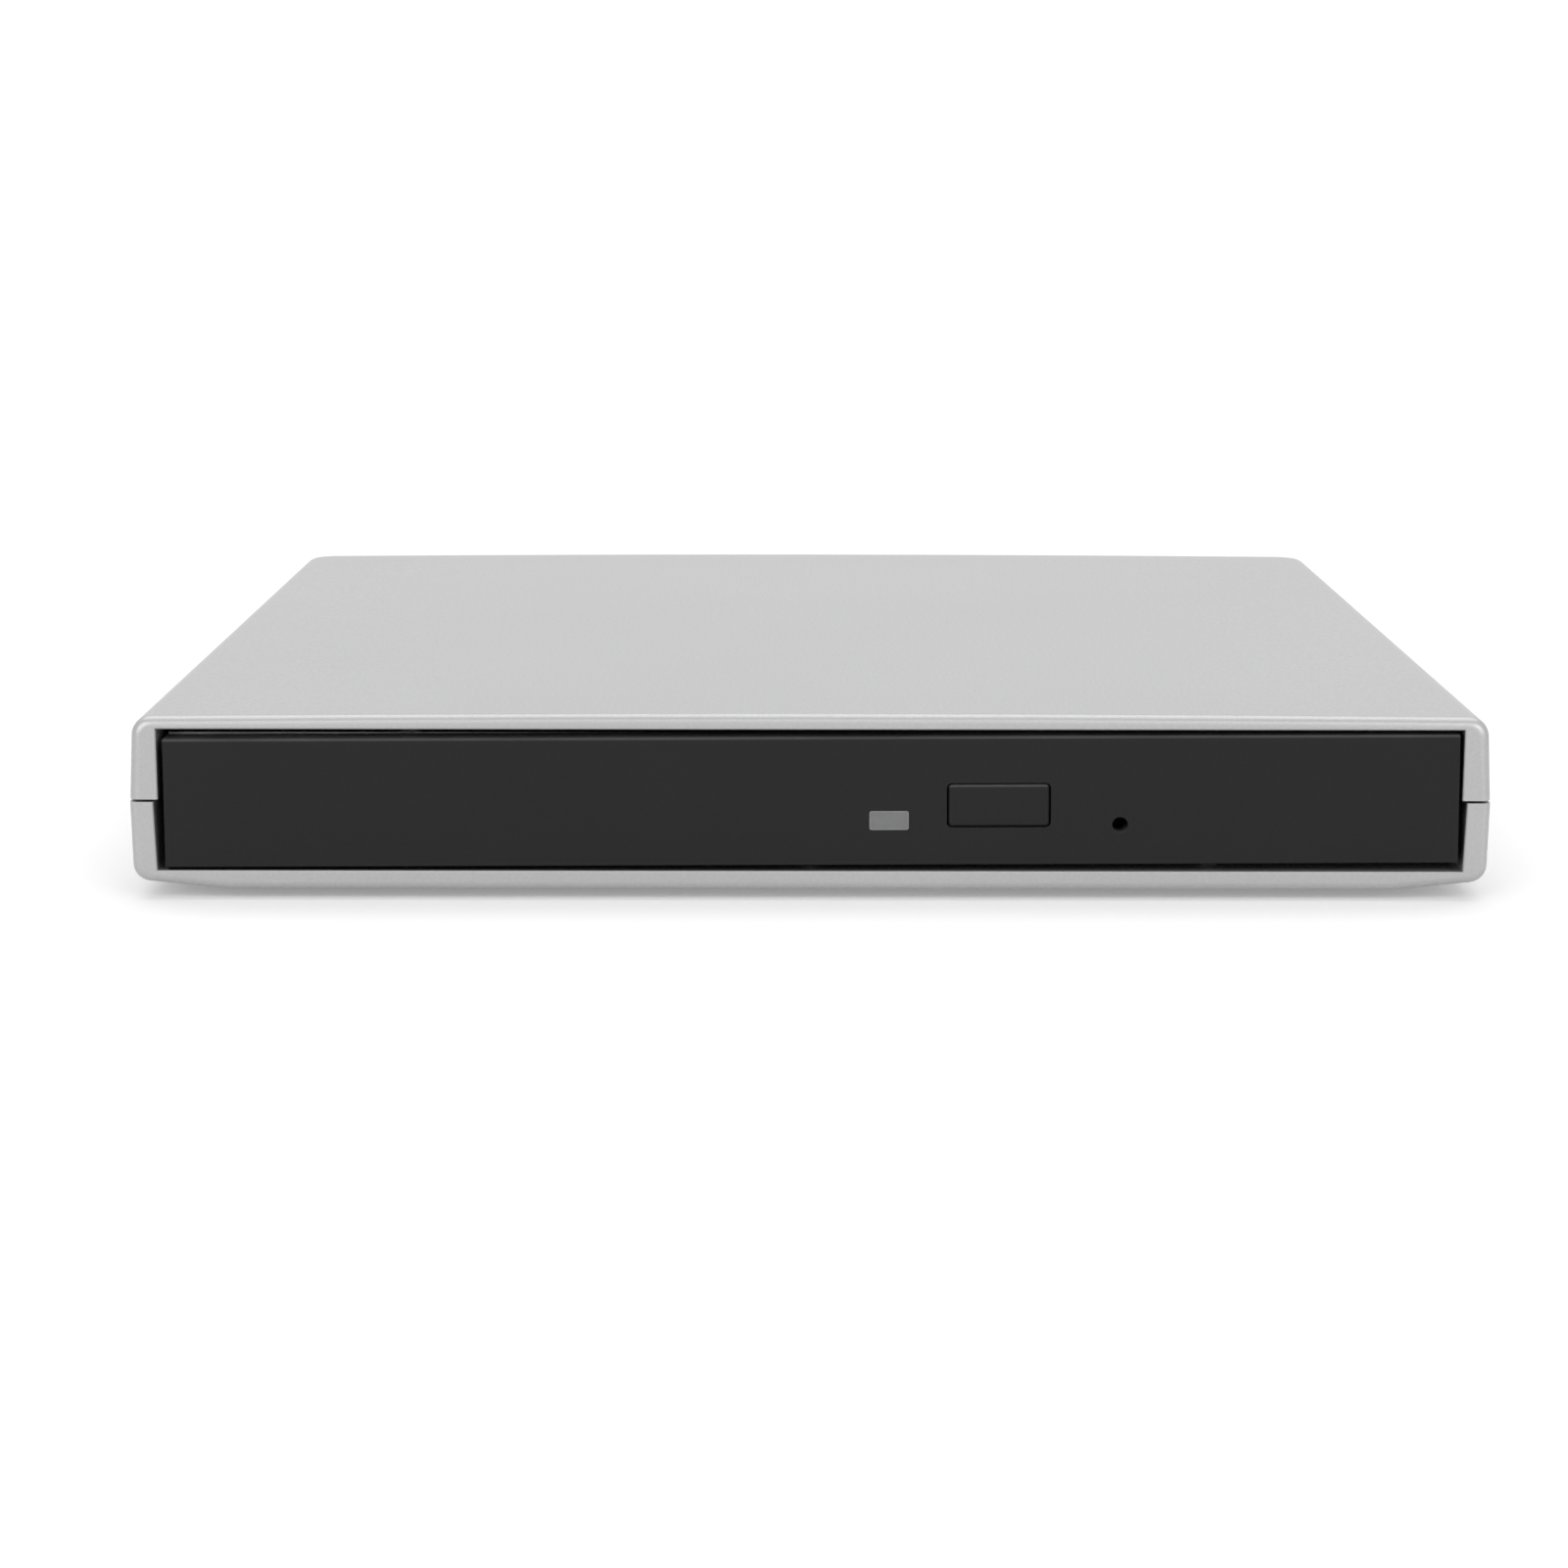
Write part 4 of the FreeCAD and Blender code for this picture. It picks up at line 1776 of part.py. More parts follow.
def make_sled_motor():
    far = rod_end - screw_end_inset
    far_end = far + motor_cheek
    place = (screw_side, screw_z)
    side = about(screw_side, cheek_width)
    cheek_span = (screw_z - cheek_reach, plate_bottom)
    can = rod("motor_can", motor_radius, place, (motor_start, motor_end), "x")
    near_cheek = block("motor_cheek_near", (motor_end, motor_end + motor_cheek), side, cheek_span)
    far_cheek = block("motor_cheek_far", (far, far_end), side, cheek_span)
    strap = block("motor_bracket", (motor_end, far_end), about(screw_side, motor_strap),
                  (plate_bottom - strap_sheet, plate_bottom))
    bores = rod("motor_bores", lead_screw_radius + thread_clearance, place,
                (motor_end - motor_recess, far_end + PAST), "x")
    blank = fused("motor_blank", can, near_cheek, far_cheek, strap)
    in_mechanism(cut("sled_motor", blank, bores), "sled_motor")
    lead = rod("lead_screw_bar", lead_screw_radius, place, (motor_end + lead_screw_gap, far_end), "x")
    in_mechanism(group("lead_screw", lead), "lead_screw")


def make_spindle_base():
    """The motor's base plate and bearing sleeve, and the stator round the sleeve."""
    sleeve_top = plate_bottom + sleeve_rise
    plate = rod("motor_base", rotor_radius + motor_plate_margin, (0, 0),
                (plate_bottom - motor_plate_sheet, plate_bottom))
    sleeve = rod("motor_sleeve", sleeve_radius, (0, 0), (shaft_bottom - sleeve_floor, sleeve_top))
    bore = rod("motor_bore", shaft_radius + shaft_clearance, (0, 0),
               (shaft_bottom - shaft_end_gap, sleeve_top + PAST))
    in_mechanism(cut("spindle_base", fused("spindle_base_blank", plate, sleeve), bore), "spindle_base")
    body = new_body("stator")
    ring = sketch_on(body, "stator_ring", "XY_Plane", plate_bottom + stator_gap)
    circle(ring, 0, 0, stator_radius)
    pad(body, ring, stator_height)
    eye = sketch_on(body, "stator_eye", "XY_Plane", plate_bottom)
    circle(eye, 0, 0, sleeve_radius + sleeve_clearance)
    pocket(body, eye)
    slot = sketch_on(body, "stator_slot", "XY_Plane", plate_bottom)
    rectangle(slot, (sleeve_radius + stator_core, stator_radius + PAST), both(stator_slot_half))
    repeated(body, "stator_slots", slot, pocket(body, slot), STATOR_SLOTS)
    in_mechanism(body, "stator")


def make_rotor():
    """The rotor's cup, with the shaft that stands in the bearing sleeve."""
    low = plate_bottom + rotor_gap
    cup = turntable_bottom - rotor_roof
    inner = rotor_radius - rotor_wall
    body = turned("rotor", [
        (0, shaft_bottom), (shaft_radius, shaft_bottom), (shaft_radius, cup), (inner, cup), (inner, low),
        (rotor_radius, low), (rotor_radius, turntable_bottom), (0, turntable_bottom),
    ])
    in_mechanism(body, "rotor")


def make_turntable():
    body = turned("turntable", [
        (0, turntable_bottom), (turntable_radius, turntable_bottom), (turntable_radius, turntable_seat),
        (hub_radius, turntable_seat), (hub_radius, hub_top - hub_bevel), (hub_radius - hub_bevel, hub_top),
        (0, hub_top),
    ])
    slot = sketch_on(body, "pawl_slot", "XY_Plane", pawl_bottom - pawl_bottom_gap)
    rectangle(slot, (hub_radius - pawl_slot_length, hub_radius + PAST), both(pawl_width / 2 + pawl_gap))
    cuts = pocket(body, slot, pawl_height + 2 * pawl_bottom_gap, True)
    repeated(body, "pawl_slots", slot, cuts, PAWLS)
    in_mechanism(body, "turntable")
    pad_inner = hub_radius + pad_inner_gap
    pad_outer = turntable_radius - pad_outer_gap
    ring = turned("turntable_pad", [
        (pad_inner, turntable_seat), (pad_outer, turntable_seat), (pad_outer, disc_plane),
        (pad_inner, disc_plane),
    ])
    in_mechanism(ring, "turntable_pad")


def make_pawls():
    """The three sprung claws that hold the disc's inner edge."""
    outer = hub_radius + pawl_proud
    inner = outer - pawl_length
    top = pawl_bottom + pawl_height
    for index in range(PAWLS):
        name = f"chuck_pawl_{index + 1}"
        body = new_body(name)
        side = sketch_on(body, name + "_side", "XZ_Plane", -pawl_width / 2)
        outline(side, [
            (inner, pawl_bottom), (outer - pawl_toe, pawl_bottom), (outer, pawl_bottom + pawl_nose),
            (outer - pawl_brow, top), (inner, top),
        ])
        pad(body, side, pawl_width)
        register(body, name, (0, 0, 1), sled_turn + 360 / PAWLS * index, (0, spindle_y, 0))


def make_mechanism_cover():
    """The thin plate over the mechanism, with its lens slot and the bay round the turntable."""
    low = cover_plate_bottom
    shoulder = disc_recess_radius - opening_shoulder - cover_plate_neck_gap
    reach = lens_outer + opening_reach - cover_plate_end_gap
    sub = -opening_sub + cover_plate_side_gap
    main = opening_main - cover_plate_side_gap
    neck = opening_neck - cover_plate_neck_gap
    body = new_body("mechanism_cover")
    plan = sketch_on(body, "mechanism_plan", "XY_Plane", low)
    outline(plan, [
        (0, sub), (shoulder, sub), (shoulder, -neck), (reach, -neck), (reach, neck), (shoulder, neck),
        (shoulder, main), (0, main),
    ])
    pad(body, plan, cover_plate_sheet)
    bay = sketch_on(body, "turntable_bay", "XY_Plane", low)
    circle(bay, 0, 0, turntable_radius + turntable_bay_gap)
    pocket(body, bay)
    slot = sketch_on(body, "lens_slot", "XY_Plane", low)
    rectangle(slot, (lens_slot_start, lens_outer), both(lens_slot_half))
    pocket(body, slot)
    slot_end = sketch_on(body, "lens_slot_end", "XY_Plane", low)
    circle(slot_end, lens_outer, 0, lens_slot_half)
    pocket(body, slot_end)
    sides = (-cover_leg_sub, cover_leg_main)
    spots = [(along, side) for along in (cover_leg_inner, cover_leg_outer) for side in sides]
    for index, (along, across) in enumerate(spots):
        leg = sketch_on(body, f"cover_leg_{index}", "XY_Plane", low)
        circle(leg, along, across, cover_leg_radius)
        pad(body, leg, low - plate_top, True)
    in_mechanism(body, "mechanism_cover")


# Pickup; drawn with the lens at its innermost place


def make_pickup():
    lens = lens_inner
    roof = plate_bottom - pickup_roof_gap
    tower_top = plate_top + tower_rise
    bearing_bottom = rod_z - rod_radius - bearing_under
    arm_span = (lens - bearing_tail, lens - bearing_tail + arm_length)
    main_side = main_rod_side - pickup_main_gap
    main = block("pickup_block", about(lens, pickup_length), (-pickup_sub_side, main_side),
                 (shield_top + pickup_floor_gap, roof))
    bearing = block("pickup_bearing", (lens - bearing_tail, lens + bearing_nose),
                    (main_side - EMBED, main_rod_side + bearing_half), (bearing_bottom, roof))
    fork = block("pickup_fork", about(lens, fork_length),
                 (-sub_rod_side - bearing_half, -pickup_sub_side + EMBED), (bearing_bottom, roof))
    tower = block("pickup_tower", about(lens, tower_length), both(tower_width / 2),
                  (roof - EMBED, tower_top))
    arm = block("pickup_arm", arm_span, (main_rod_side + bearing_half - EMBED, nut_side_inner),
                (bearing_bottom, roof))
    bore = rod("pickup_bore", rod_radius + rod_clearance, (main_rod_side, rod_z),
               (lens - bearing_tail - PAST, lens + bearing_nose + PAST), "x")
    gap = block("pickup_fork_gap", about(lens, fork_length + 2 * PAST),
                (-sub_rod_side - bearing_half - PAST, -sub_rod_side + rod_radius + fork_jaw),
                about(rod_z, 2 * (rod_radius + rod_clearance)))
    well = block("pickup_well", about(lens, tower_well_length), both(tower_well_width / 2),
                 (roof - tower_well_depth, tower_top + PAST))
    blank = fused("pickup_blank", main, bearing, fork, tower, arm)
    in_mechanism(cut("pickup_body", blank, bore, gap, well), "pickup_body")
    nut = block("nut_block", arm_span, (nut_side_inner, screw_side + nut_side),
                (screw_z - nut_drop, plate_bottom - nut_roof_gap))
    thread = rod("nut_thread", lead_screw_radius + lead_screw_gap, (screw_side, screw_z),
                 (arm_span[0] - PAST, arm_span[1] + PAST), "x")
    in_mechanism(cut("rack_nut", nut, thread), "rack_nut")
    lid = block("actuator_lid", about(lens, tower_length), both(tower_width / 2),
                (tower_top, tower_top + lid_sheet))
    mouth = block("actuator_mouth", about(lens, lid_mouth_length), both(lid_mouth_width / 2),
                  (tower_top - PAST, tower_top + PAST))
    in_mechanism(cut("actuator_cover", lid, mouth), "actuator_cover")


def make_lens():
    lens = lens_inner
    top = plate_top + holder_rise
    bottom = plate_bottom - holder_drop
    holder = block("holder_block", about(lens, holder_length), both(holder_width / 2), (bottom, top))
    seat = rod("holder_seat", lens_radius + lens_clearance, (lens, 0), (top - lens_rim, top + PAST))
    path = rod("holder_path", lens_radius - lens_ledge, (lens, 0), (bottom - PAST, top + PAST))
    in_mechanism(cut("lens_holder", holder, seat, path), "lens_holder")
    dome_radius = (lens_radius * lens_radius + lens_bulge * lens_bulge) / (2 * lens_bulge)
    blank = rod("lens_blank", lens_radius, (0, 0), (top - lens_rim, top + lens_bulge))
    dome = DOC.addObject("Part::Sphere", "lens_dome")
    dome.setExpression("Radius", text_of(dome_radius))
    dome.setExpression("Placement.Base.z", text_of(top + lens_bulge - dome_radius))
    x, y = on_tray(lens, constant(0))
    register(common("objective_lens", blank, dome), "objective_lens", base=(x, y, 0))


def finish():
    """Checks every object and writes each sub-part to its own file."""
    DOC.recompute()
    for item in DOC.Objects:
        if "Invalid" in item.State or "Error" in item.State:
            raise RuntimeError(f"{item.Name} failed: {item.State}")
    for item in SUBPARTS:
        shape = item.Shape
        if shape.isNull() or not shape.isValid() or not shape.Solids:
            raise RuntimeError(f"{item.Label} has no valid shape")
    os.makedirs("parts", exist_ok=True)
    for item in SUBPARTS:
        item.Shape.exportStep(f"parts/{item.Label}.step")
        print(item.Label, len(item.Shape.Solids), round(item.Shape.Volume, 1))


make_upper_case()
make_lower_case()
make_feet()
make_case_screws()
make_bridge_board()
make_usb_socket()
make_sata_pair()
make_drive_chassis()
make_drive_cover()
make_cover_screws()
make_rail_guides()
make_slide_rails()
make_main_board()
make_latch_strike()
make_eject_pusher()
make_flat_cable()
make_tray()
make_tray_screws()
make_dampers()
make_tray_shield()
make_bezel()
make_lamp_window()
make_eject_button()
make_button_board()
make_latch()
make_traverse_plate()
make_guide_rods()
make_sled_motor()
make_spindle_base()
make_rotor()
make_turntable()
make_pawls()
make_mechanism_cover()
make_pickup()
make_lens()
finish()
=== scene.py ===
import json
import math

import bmesh
import bpy
from mathutils import Matrix, Vector


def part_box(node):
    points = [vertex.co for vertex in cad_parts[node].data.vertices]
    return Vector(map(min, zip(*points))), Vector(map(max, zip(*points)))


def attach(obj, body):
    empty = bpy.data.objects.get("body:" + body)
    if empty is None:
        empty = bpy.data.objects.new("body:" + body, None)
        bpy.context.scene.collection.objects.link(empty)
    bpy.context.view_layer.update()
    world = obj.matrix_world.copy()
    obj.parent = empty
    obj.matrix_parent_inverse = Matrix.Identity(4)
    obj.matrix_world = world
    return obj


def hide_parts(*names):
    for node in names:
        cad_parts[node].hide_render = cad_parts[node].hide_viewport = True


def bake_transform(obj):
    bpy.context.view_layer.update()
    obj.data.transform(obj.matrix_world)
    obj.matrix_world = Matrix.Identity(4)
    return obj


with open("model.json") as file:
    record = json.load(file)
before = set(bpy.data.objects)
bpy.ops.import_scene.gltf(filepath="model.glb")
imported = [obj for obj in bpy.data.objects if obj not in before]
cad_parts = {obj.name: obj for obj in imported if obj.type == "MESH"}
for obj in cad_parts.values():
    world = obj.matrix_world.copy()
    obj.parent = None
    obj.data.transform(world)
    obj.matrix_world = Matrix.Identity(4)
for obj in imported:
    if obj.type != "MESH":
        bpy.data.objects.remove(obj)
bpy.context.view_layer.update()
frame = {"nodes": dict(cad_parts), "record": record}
NODES = frame["nodes"]
MM = 0.001

# The photograph's camera, in the frame that the picture takes
PICTURE_SIDE = 1601
FOCAL_PIXELS = 4185.5
SENSOR = 36.0
CAMERA_PLACE = Vector((-1.719, -474.23, 76.99)) * MM
CAMERA_PITCH = math.radians(9.294)
CAMERA_YAW = math.radians(-0.121)
CAMERA_ROLL = math.radians(0.047)


# Node helpers


class Tree:
    """A material's node tree, with short calls for the nodes that every finish uses."""

    def __init__(self, name):
        self.material = bpy.data.materials.new(name)
        self.material.use_nodes = True
        self.nodes = self.material.node_tree.nodes
        self.links = self.material.node_tree.links
        self.nodes.clear()
        self.output = self.nodes.new("ShaderNodeOutputMaterial")
        self.shader = self.nodes.new("ShaderNodeBsdfPrincipled")
        self.join(self.shader.outputs["BSDF"], self.output.inputs["Surface"])
        self.place = self.nodes.new("ShaderNodeTexCoord").outputs["Object"]

    def join(self, source, target):
        self.links.new(source, target)

    def stretched(self, scale):
        """The place in object coordinates, scaled along each axis."""
        node = self.nodes.new("ShaderNodeMapping")
        node.vector_type = "POINT"
        node.inputs["Scale"].default_value = scale
        self.join(self.place, node.inputs["Vector"])
        return node.outputs["Vector"]

    def noise(self, size, detail=2.0, place=None, roughness=0.5):
        """Noise whose cells are about size metres wide."""
        node = self.nodes.new("ShaderNodeTexNoise")
        node.inputs["Scale"].default_value = 1.0 / size
        node.inputs["Detail"].default_value = detail
        node.inputs["Roughness"].default_value = roughness
        self.join(place or self.place, node.inputs["Vector"])
        return node.outputs["Fac"]

    def cells(self, size, feature="F1", place=None):
        """Distance to the nearest of points scattered about size metres apart."""
        node = self.nodes.new("ShaderNodeTexVoronoi")
        node.feature = feature
        node.inputs["Scale"].default_value = 1.0 / size
        self.join(place or self.place, node.inputs["Vector"])
        return node.outputs["Distance"]

    def mapped(self, value, low, high, out_low, out_high):
        """A value's range mapped to another range, held at its ends."""
        node = self.nodes.new("ShaderNodeMapRange")
        ends = {"From Min": low, "From Max": high, "To Min": out_low, "To Max": out_high}
        for name, number in ends.items():
            node.inputs[name].default_value = number
        self.join(value, node.inputs["Value"])
        return node.outputs["Result"]

    def math(self, kind, first, second):
        """Two values worked together; a value is a number or another node's output."""
        node = self.nodes.new("ShaderNodeMath")
        node.operation = kind
        for index, value in enumerate((first, second)):
            if isinstance(value, (int, float)):
                node.inputs[index].default_value = value
            else:
                self.join(value, node.inputs[index])
        return node.outputs["Value"]

    def mixed(self, factor, first, second):
        """Two colours mixed by a value; a colour is three numbers or another node's output."""
        node = self.nodes.new("ShaderNodeMix")
        node.data_type = "RGBA"
        slots = [s for s in node.inputs if s.enabled and s.type == "RGBA"]
        amount = next(s for s in node.inputs if s.enabled and s.name == "Factor")
        if isinstance(factor, (int, float)):
            amount.default_value = factor
        else:
            self.join(factor, amount)
        for slot, value in zip(slots, (first, second)):
            if isinstance(value, tuple):
                slot.default_value = (*value, 1.0)
            else:
                self.join(value, slot)
        return next(s for s in node.outputs if s.enabled and s.type == "RGBA")

    def bump(self, height, distance):
        """A normal for a height of 0 to 1 that stands for a distance in metres."""
        node = self.nodes.new("ShaderNodeBump")
        node.inputs["Distance"].default_value = distance
        self.join(height, node.inputs["Height"])
        return node.outputs["Normal"]

    def edge_mask(self, radius):
        """Near 1 on edges that stand out or in, and 0 on flat ground."""
        bevel = self.nodes.new("ShaderNodeBevel")
        bevel.samples = 4
        bevel.inputs["Radius"].default_value = radius
        geometry = self.nodes.new("ShaderNodeNewGeometry")
        dot = self.nodes.new("ShaderNodeVectorMath")
        dot.operation = "DOT_PRODUCT"
        self.join(bevel.outputs["Normal"], dot.inputs[0])
        self.join(geometry.outputs["Normal"], dot.inputs[1])
        return self.mapped(dot.outputs["Value"], 0.99, 0.8, 0.0, 1.0)

    def crevice_shade(self, distance, open_share=0.4):
        """Near 1 deep in gaps and hollows, and 0 on faces open to more than a share of the sky; it marks
        where shade is painted.
        """
        node = self.nodes.new("ShaderNodeAmbientOcclusion")
        node.samples = 8
        node.inputs["Distance"].default_value = distance
        return self.mapped(node.outputs["AO"], 0.05, open_share, 1.0, 0.0)

    def facing_up(self, low, high):
        """Near 1 on faces that look up, where dust settles and where a painted highlight is laid."""
        geometry = self.nodes.new("ShaderNodeNewGeometry")
        parts = self.nodes.new("ShaderNodeSeparateXYZ")
        self.join(geometry.outputs["Normal"], parts.inputs["Vector"])
        return self.mapped(parts.outputs["Z"], low, high, 0.0, 1.0)

    def base(self):
        """What the base colour is made of so far."""
        return self.shader.inputs["Base Color"].links[0].from_socket

    def set(self, name, value):
        """Sets one of the shader's sockets to a number, a colour or another node's output."""
        socket = self.shader.inputs[name]
        if isinstance(value, (int, float)):
            socket.default_value = value
        elif isinstance(value, tuple):
            socket.default_value = (*value, 1.0)
        else:
            self.join(value, socket)


def shade(value, by):
    """A colour made lighter or darker by a share."""
    return tuple(min(1.0, channel * by) for channel in value)


def moulded(name, colour, roughness, grain, depth, mottle, specular=0.5):
    """Moulded plastic: a fine spark-eroded grain, faint mottling and slightly worn edges."""
    tree = Tree(name)
    broad = tree.noise(18 * MM, 3.0)
    fine = tree.noise(grain * 2, 2.0)
    darker, lighter = shade(colour, 1 - mottle), shade(colour, 1 + mottle)
    base = tree.mixed(tree.mapped(broad, 0.3, 0.7, 0.0, 1.0), darker, lighter)
    base = tree.mixed(tree.mapped(fine, 0.35, 0.65, 0.0, mottle * 2), base, shade(colour, 1.35))
    lighter_edges = tree.edge_mask(0.12 * MM)
    base = tree.mixed(tree.math("MULTIPLY", lighter_edges, 0.25), base, shade(colour, 1.6))
    tree.set("Base Color", base)
    tree.set("Specular IOR Level", specular)
    smears = tree.noise(6 * MM, 4.0)
    tree.set("Roughness", tree.mapped(smears, 0.3, 0.7, roughness - 0.05, roughness + 0.05))
    tree.set("Normal", tree.bump(tree.noise(grain, 2.0), depth))
    return tree


def brushed(name, colour, roughness, along=(0.04, 1.0, 1.0), streak=0.3 * MM, depth=0.002 * MM):
    """Rolled or ground metal with fine lines along one direction and faint stains."""
    tree = Tree(name)
    lines = tree.noise(streak, 3.0, tree.stretched(along))
    stains = tree.noise(14 * MM, 4.0, roughness=0.6)
    base = tree.mixed(tree.mapped(lines, 0.3, 0.7, 0.0, 1.0), shade(colour, 0.88), shade(colour, 1.1))
    base = tree.mixed(tree.mapped(stains, 0.45, 0.75, 0.0, 0.35), base, shade(colour, 0.78))
    tree.set("Base Color", base)
    tree.set("Metallic", 1.0)
    tree.set("Roughness", tree.mapped(lines, 0.3, 0.7, roughness - 0.07, roughness + 0.09))
    tree.set("Normal", tree.bump(lines, depth))
    return tree


# Finishes, one for each material slot of the record

EVENLY = (1.0, 1.0, 1.0)


def case_silver():
    """Satin silver paint on moulded plastic: fine bright flakes under a soft sheen, with a painted
    highlight on its edges and painted shade deep in its gaps.
    """
    colour = (0.445, 0.445, 0.447)
    tree = Tree("case_silver")
    flakes = tree.cells(0.16 * MM)
    fine = tree.noise(0.35 * MM, 3.0)
    broad = tree.noise(40 * MM, 3.0)
    base = tree.mixed(tree.mapped(broad, 0.3, 0.7, 0.0, 1.0), shade(colour, 0.975), shade(colour, 1.02))
    base = tree.mixed(tree.mapped(flakes, 0.05, 0.55, 0.5, 0.0), base, shade(colour, 1.16))
    base = tree.mixed(tree.mapped(fine, 0.35, 0.65, 0.0, 0.45), base, shade(colour, 0.90))
    # Painted highlight: edges are made lighter, as the rims' rounded inner edges look where they catch
    # the light.
    lighter_edges = tree.edge_mask(0.2 * MM)
    base = tree.mixed(tree.math("MULTIPLY", lighter_edges, 0.5), base, shade(colour, 1.25))
    # Painted shade: the parting line and other gaps are darkened to near black, where shade falls.
    base = tree.mixed(tree.crevice_shade(1.6 * MM, 0.3), base, (0.004, 0.003, 0.003))
    tree.set("Base Color", base)
    tree.set("Metallic", 0.45)
    tree.set("Specular IOR Level", 0.35)
    tree.set("Roughness", tree.mapped(fine, 0.3, 0.7, 0.30, 0.38))
    tree.set("Normal", tree.bump(tree.noise(0.12 * MM, 2.0), 0.0035 * MM))
    return tree


def bezel_plastic():
    """Charcoal plastic with a fine eroded grain, a few specks of dust, and a thin pale film on top that
    is partly dust and partly a painted highlight.
    """
    colour = (0.0085, 0.0085, 0.0088)
    tree = moulded("bezel_plastic", colour, 0.5, 0.22 * MM, 0.010 * MM, mottle=0.07, specular=0.2)
    # A pale film on upward faces: partly dust, partly a painted highlight on the top edge where light
    # from above falls.
    uneven = tree.mapped(tree.noise(7 * MM, 4.0), 0.3, 0.7, 0.7, 1.0)
    dust_and_highlight = tree.math("MULTIPLY", tree.facing_up(0.25, 0.7), uneven)
    tree.set("Base Color", tree.mixed(dust_and_highlight, tree.base(), (0.095, 0.095, 0.095)))
    specks = tree.mapped(tree.cells(6.5 * MM), 0.0, 0.028, 1.0, 0.0)
    patches = tree.mapped(tree.noise(9 * MM, 2.0), 0.52, 0.6, 0.0, 1.0)
    dust = tree.math("MULTIPLY", specks, patches)
    tree.set("Base Color", tree.mixed(tree.math("MULTIPLY", dust, 0.6), tree.base(), (0.16, 0.15, 0.14)))
    return tree


def lamp_lens():
    """Milky grey light guide with faint milky mottling and paler edges."""
    tree = Tree("lamp_lens")
    lighter_edges = tree.edge_mask(0.3 * MM)
    milk = tree.noise(1.2 * MM, 2.0)
    milk = tree.mapped(milk, 0.3, 0.7, 0.0, 1.0)
    base = tree.mixed(milk, (0.150, 0.150, 0.150), (0.178, 0.178, 0.176))
    tree.set("Base Color", tree.mixed(tree.math("MULTIPLY", lighter_edges, 0.5), base, (0.38, 0.38, 0.38)))
    tree.set("Roughness", 0.32)
    tree.set("Subsurface Weight", 0.15)
    tree.set("Subsurface Scale", 0.8 * MM)
    tree.set("Normal", tree.bump(tree.noise(0.3 * MM, 2.0), 0.002 * MM))
    return tree


def foot_rubber():
    """Matt rubber with a fine pitted skin and dust in the pits."""
    colour = (0.020, 0.020, 0.021)
    tree = moulded("foot_rubber", colour, 0.82, 0.3 * MM, 0.02 * MM, mottle=0.18, specular=0.3)
    tree.set("Sheen Weight", 0.15)
    return tree


def circuit_board():
    """Green solder mask over copper tracks, which show as slightly raised paler lines."""
    tree = Tree("circuit_board")
    lanes = tree.stretched((1.0, 0.16, 1.0))
    tracks = tree.mapped(tree.cells(1.9 * MM, "DISTANCE_TO_EDGE", lanes), 0.08, 0.11, 1.0, 0.0)
    pads = tree.mapped(tree.cells(2.6 * MM), 0.10, 0.12, 1.0, 0.0)
    cloudy = tree.mapped(tree.noise(5 * MM, 3.0), 0.3, 0.7, 0.0, 1.0)
    mask = tree.mixed(cloudy, (0.012, 0.075, 0.035), (0.018, 0.105, 0.050))
    mask = tree.mixed(tree.math("MULTIPLY", tracks, 0.8), mask, (0.035, 0.175, 0.085))
    tree.set("Base Color", tree.mixed(pads, mask, (0.62, 0.60, 0.56)))
    tree.set("Roughness", tree.mapped(tree.noise(2 * MM, 2.0), 0.3, 0.7, 0.26, 0.38))
    tree.set("Metallic", tree.math("MULTIPLY", pads, 0.9))
    tree.set("Normal", tree.bump(tree.math("MAXIMUM", tracks, pads), 0.03 * MM))
    return tree


def stator_copper():
    """Enamelled copper wire: close turns with a dark line between them."""
    tree = Tree("stator_copper")
    wave = tree.nodes.new("ShaderNodeTexWave")
    wave.bands_direction = "Z"
    wave.inputs["Scale"].default_value = 1 / (1.1 * MM)
    wave.inputs["Distortion"].default_value = 1.5
    tree.join(tree.place, wave.inputs["Vector"])
    turns = wave.outputs["Fac"]
    tree.set("Base Color", tree.mixed(turns, (0.13, 0.045, 0.018), (0.62, 0.26, 0.11)))
    tree.set("Metallic", 0.85)
    tree.set("Roughness", tree.mapped(turns, 0.0, 1.0, 0.42, 0.26))
    tree.set("Normal", tree.bump(turns, 0.06 * MM))
    return tree


def cable_film():
    """Flat cable: pale film over parallel conductors."""
    tree = Tree("cable_film")
    wave = tree.nodes.new("ShaderNodeTexWave")
    wave.bands_direction = "X"
    wave.inputs["Scale"].default_value = 1 / (3.2 * MM)
    wave.inputs["Distortion"].default_value = 0.0
    tree.join(tree.place, wave.inputs["Vector"])
    wires = tree.mapped(wave.outputs["Fac"], 0.35, 0.65, 0.0, 1.0)
    tree.set("Base Color", tree.mixed(wires, (0.70, 0.72, 0.74), (0.46, 0.47, 0.48)))
    tree.set("Roughness", tree.mapped(tree.noise(3 * MM, 2.0), 0.3, 0.7, 0.30, 0.42))
    tree.set("Coat Weight", 0.4)
    tree.set("Normal", tree.bump(wires, 0.02 * MM))
    return tree


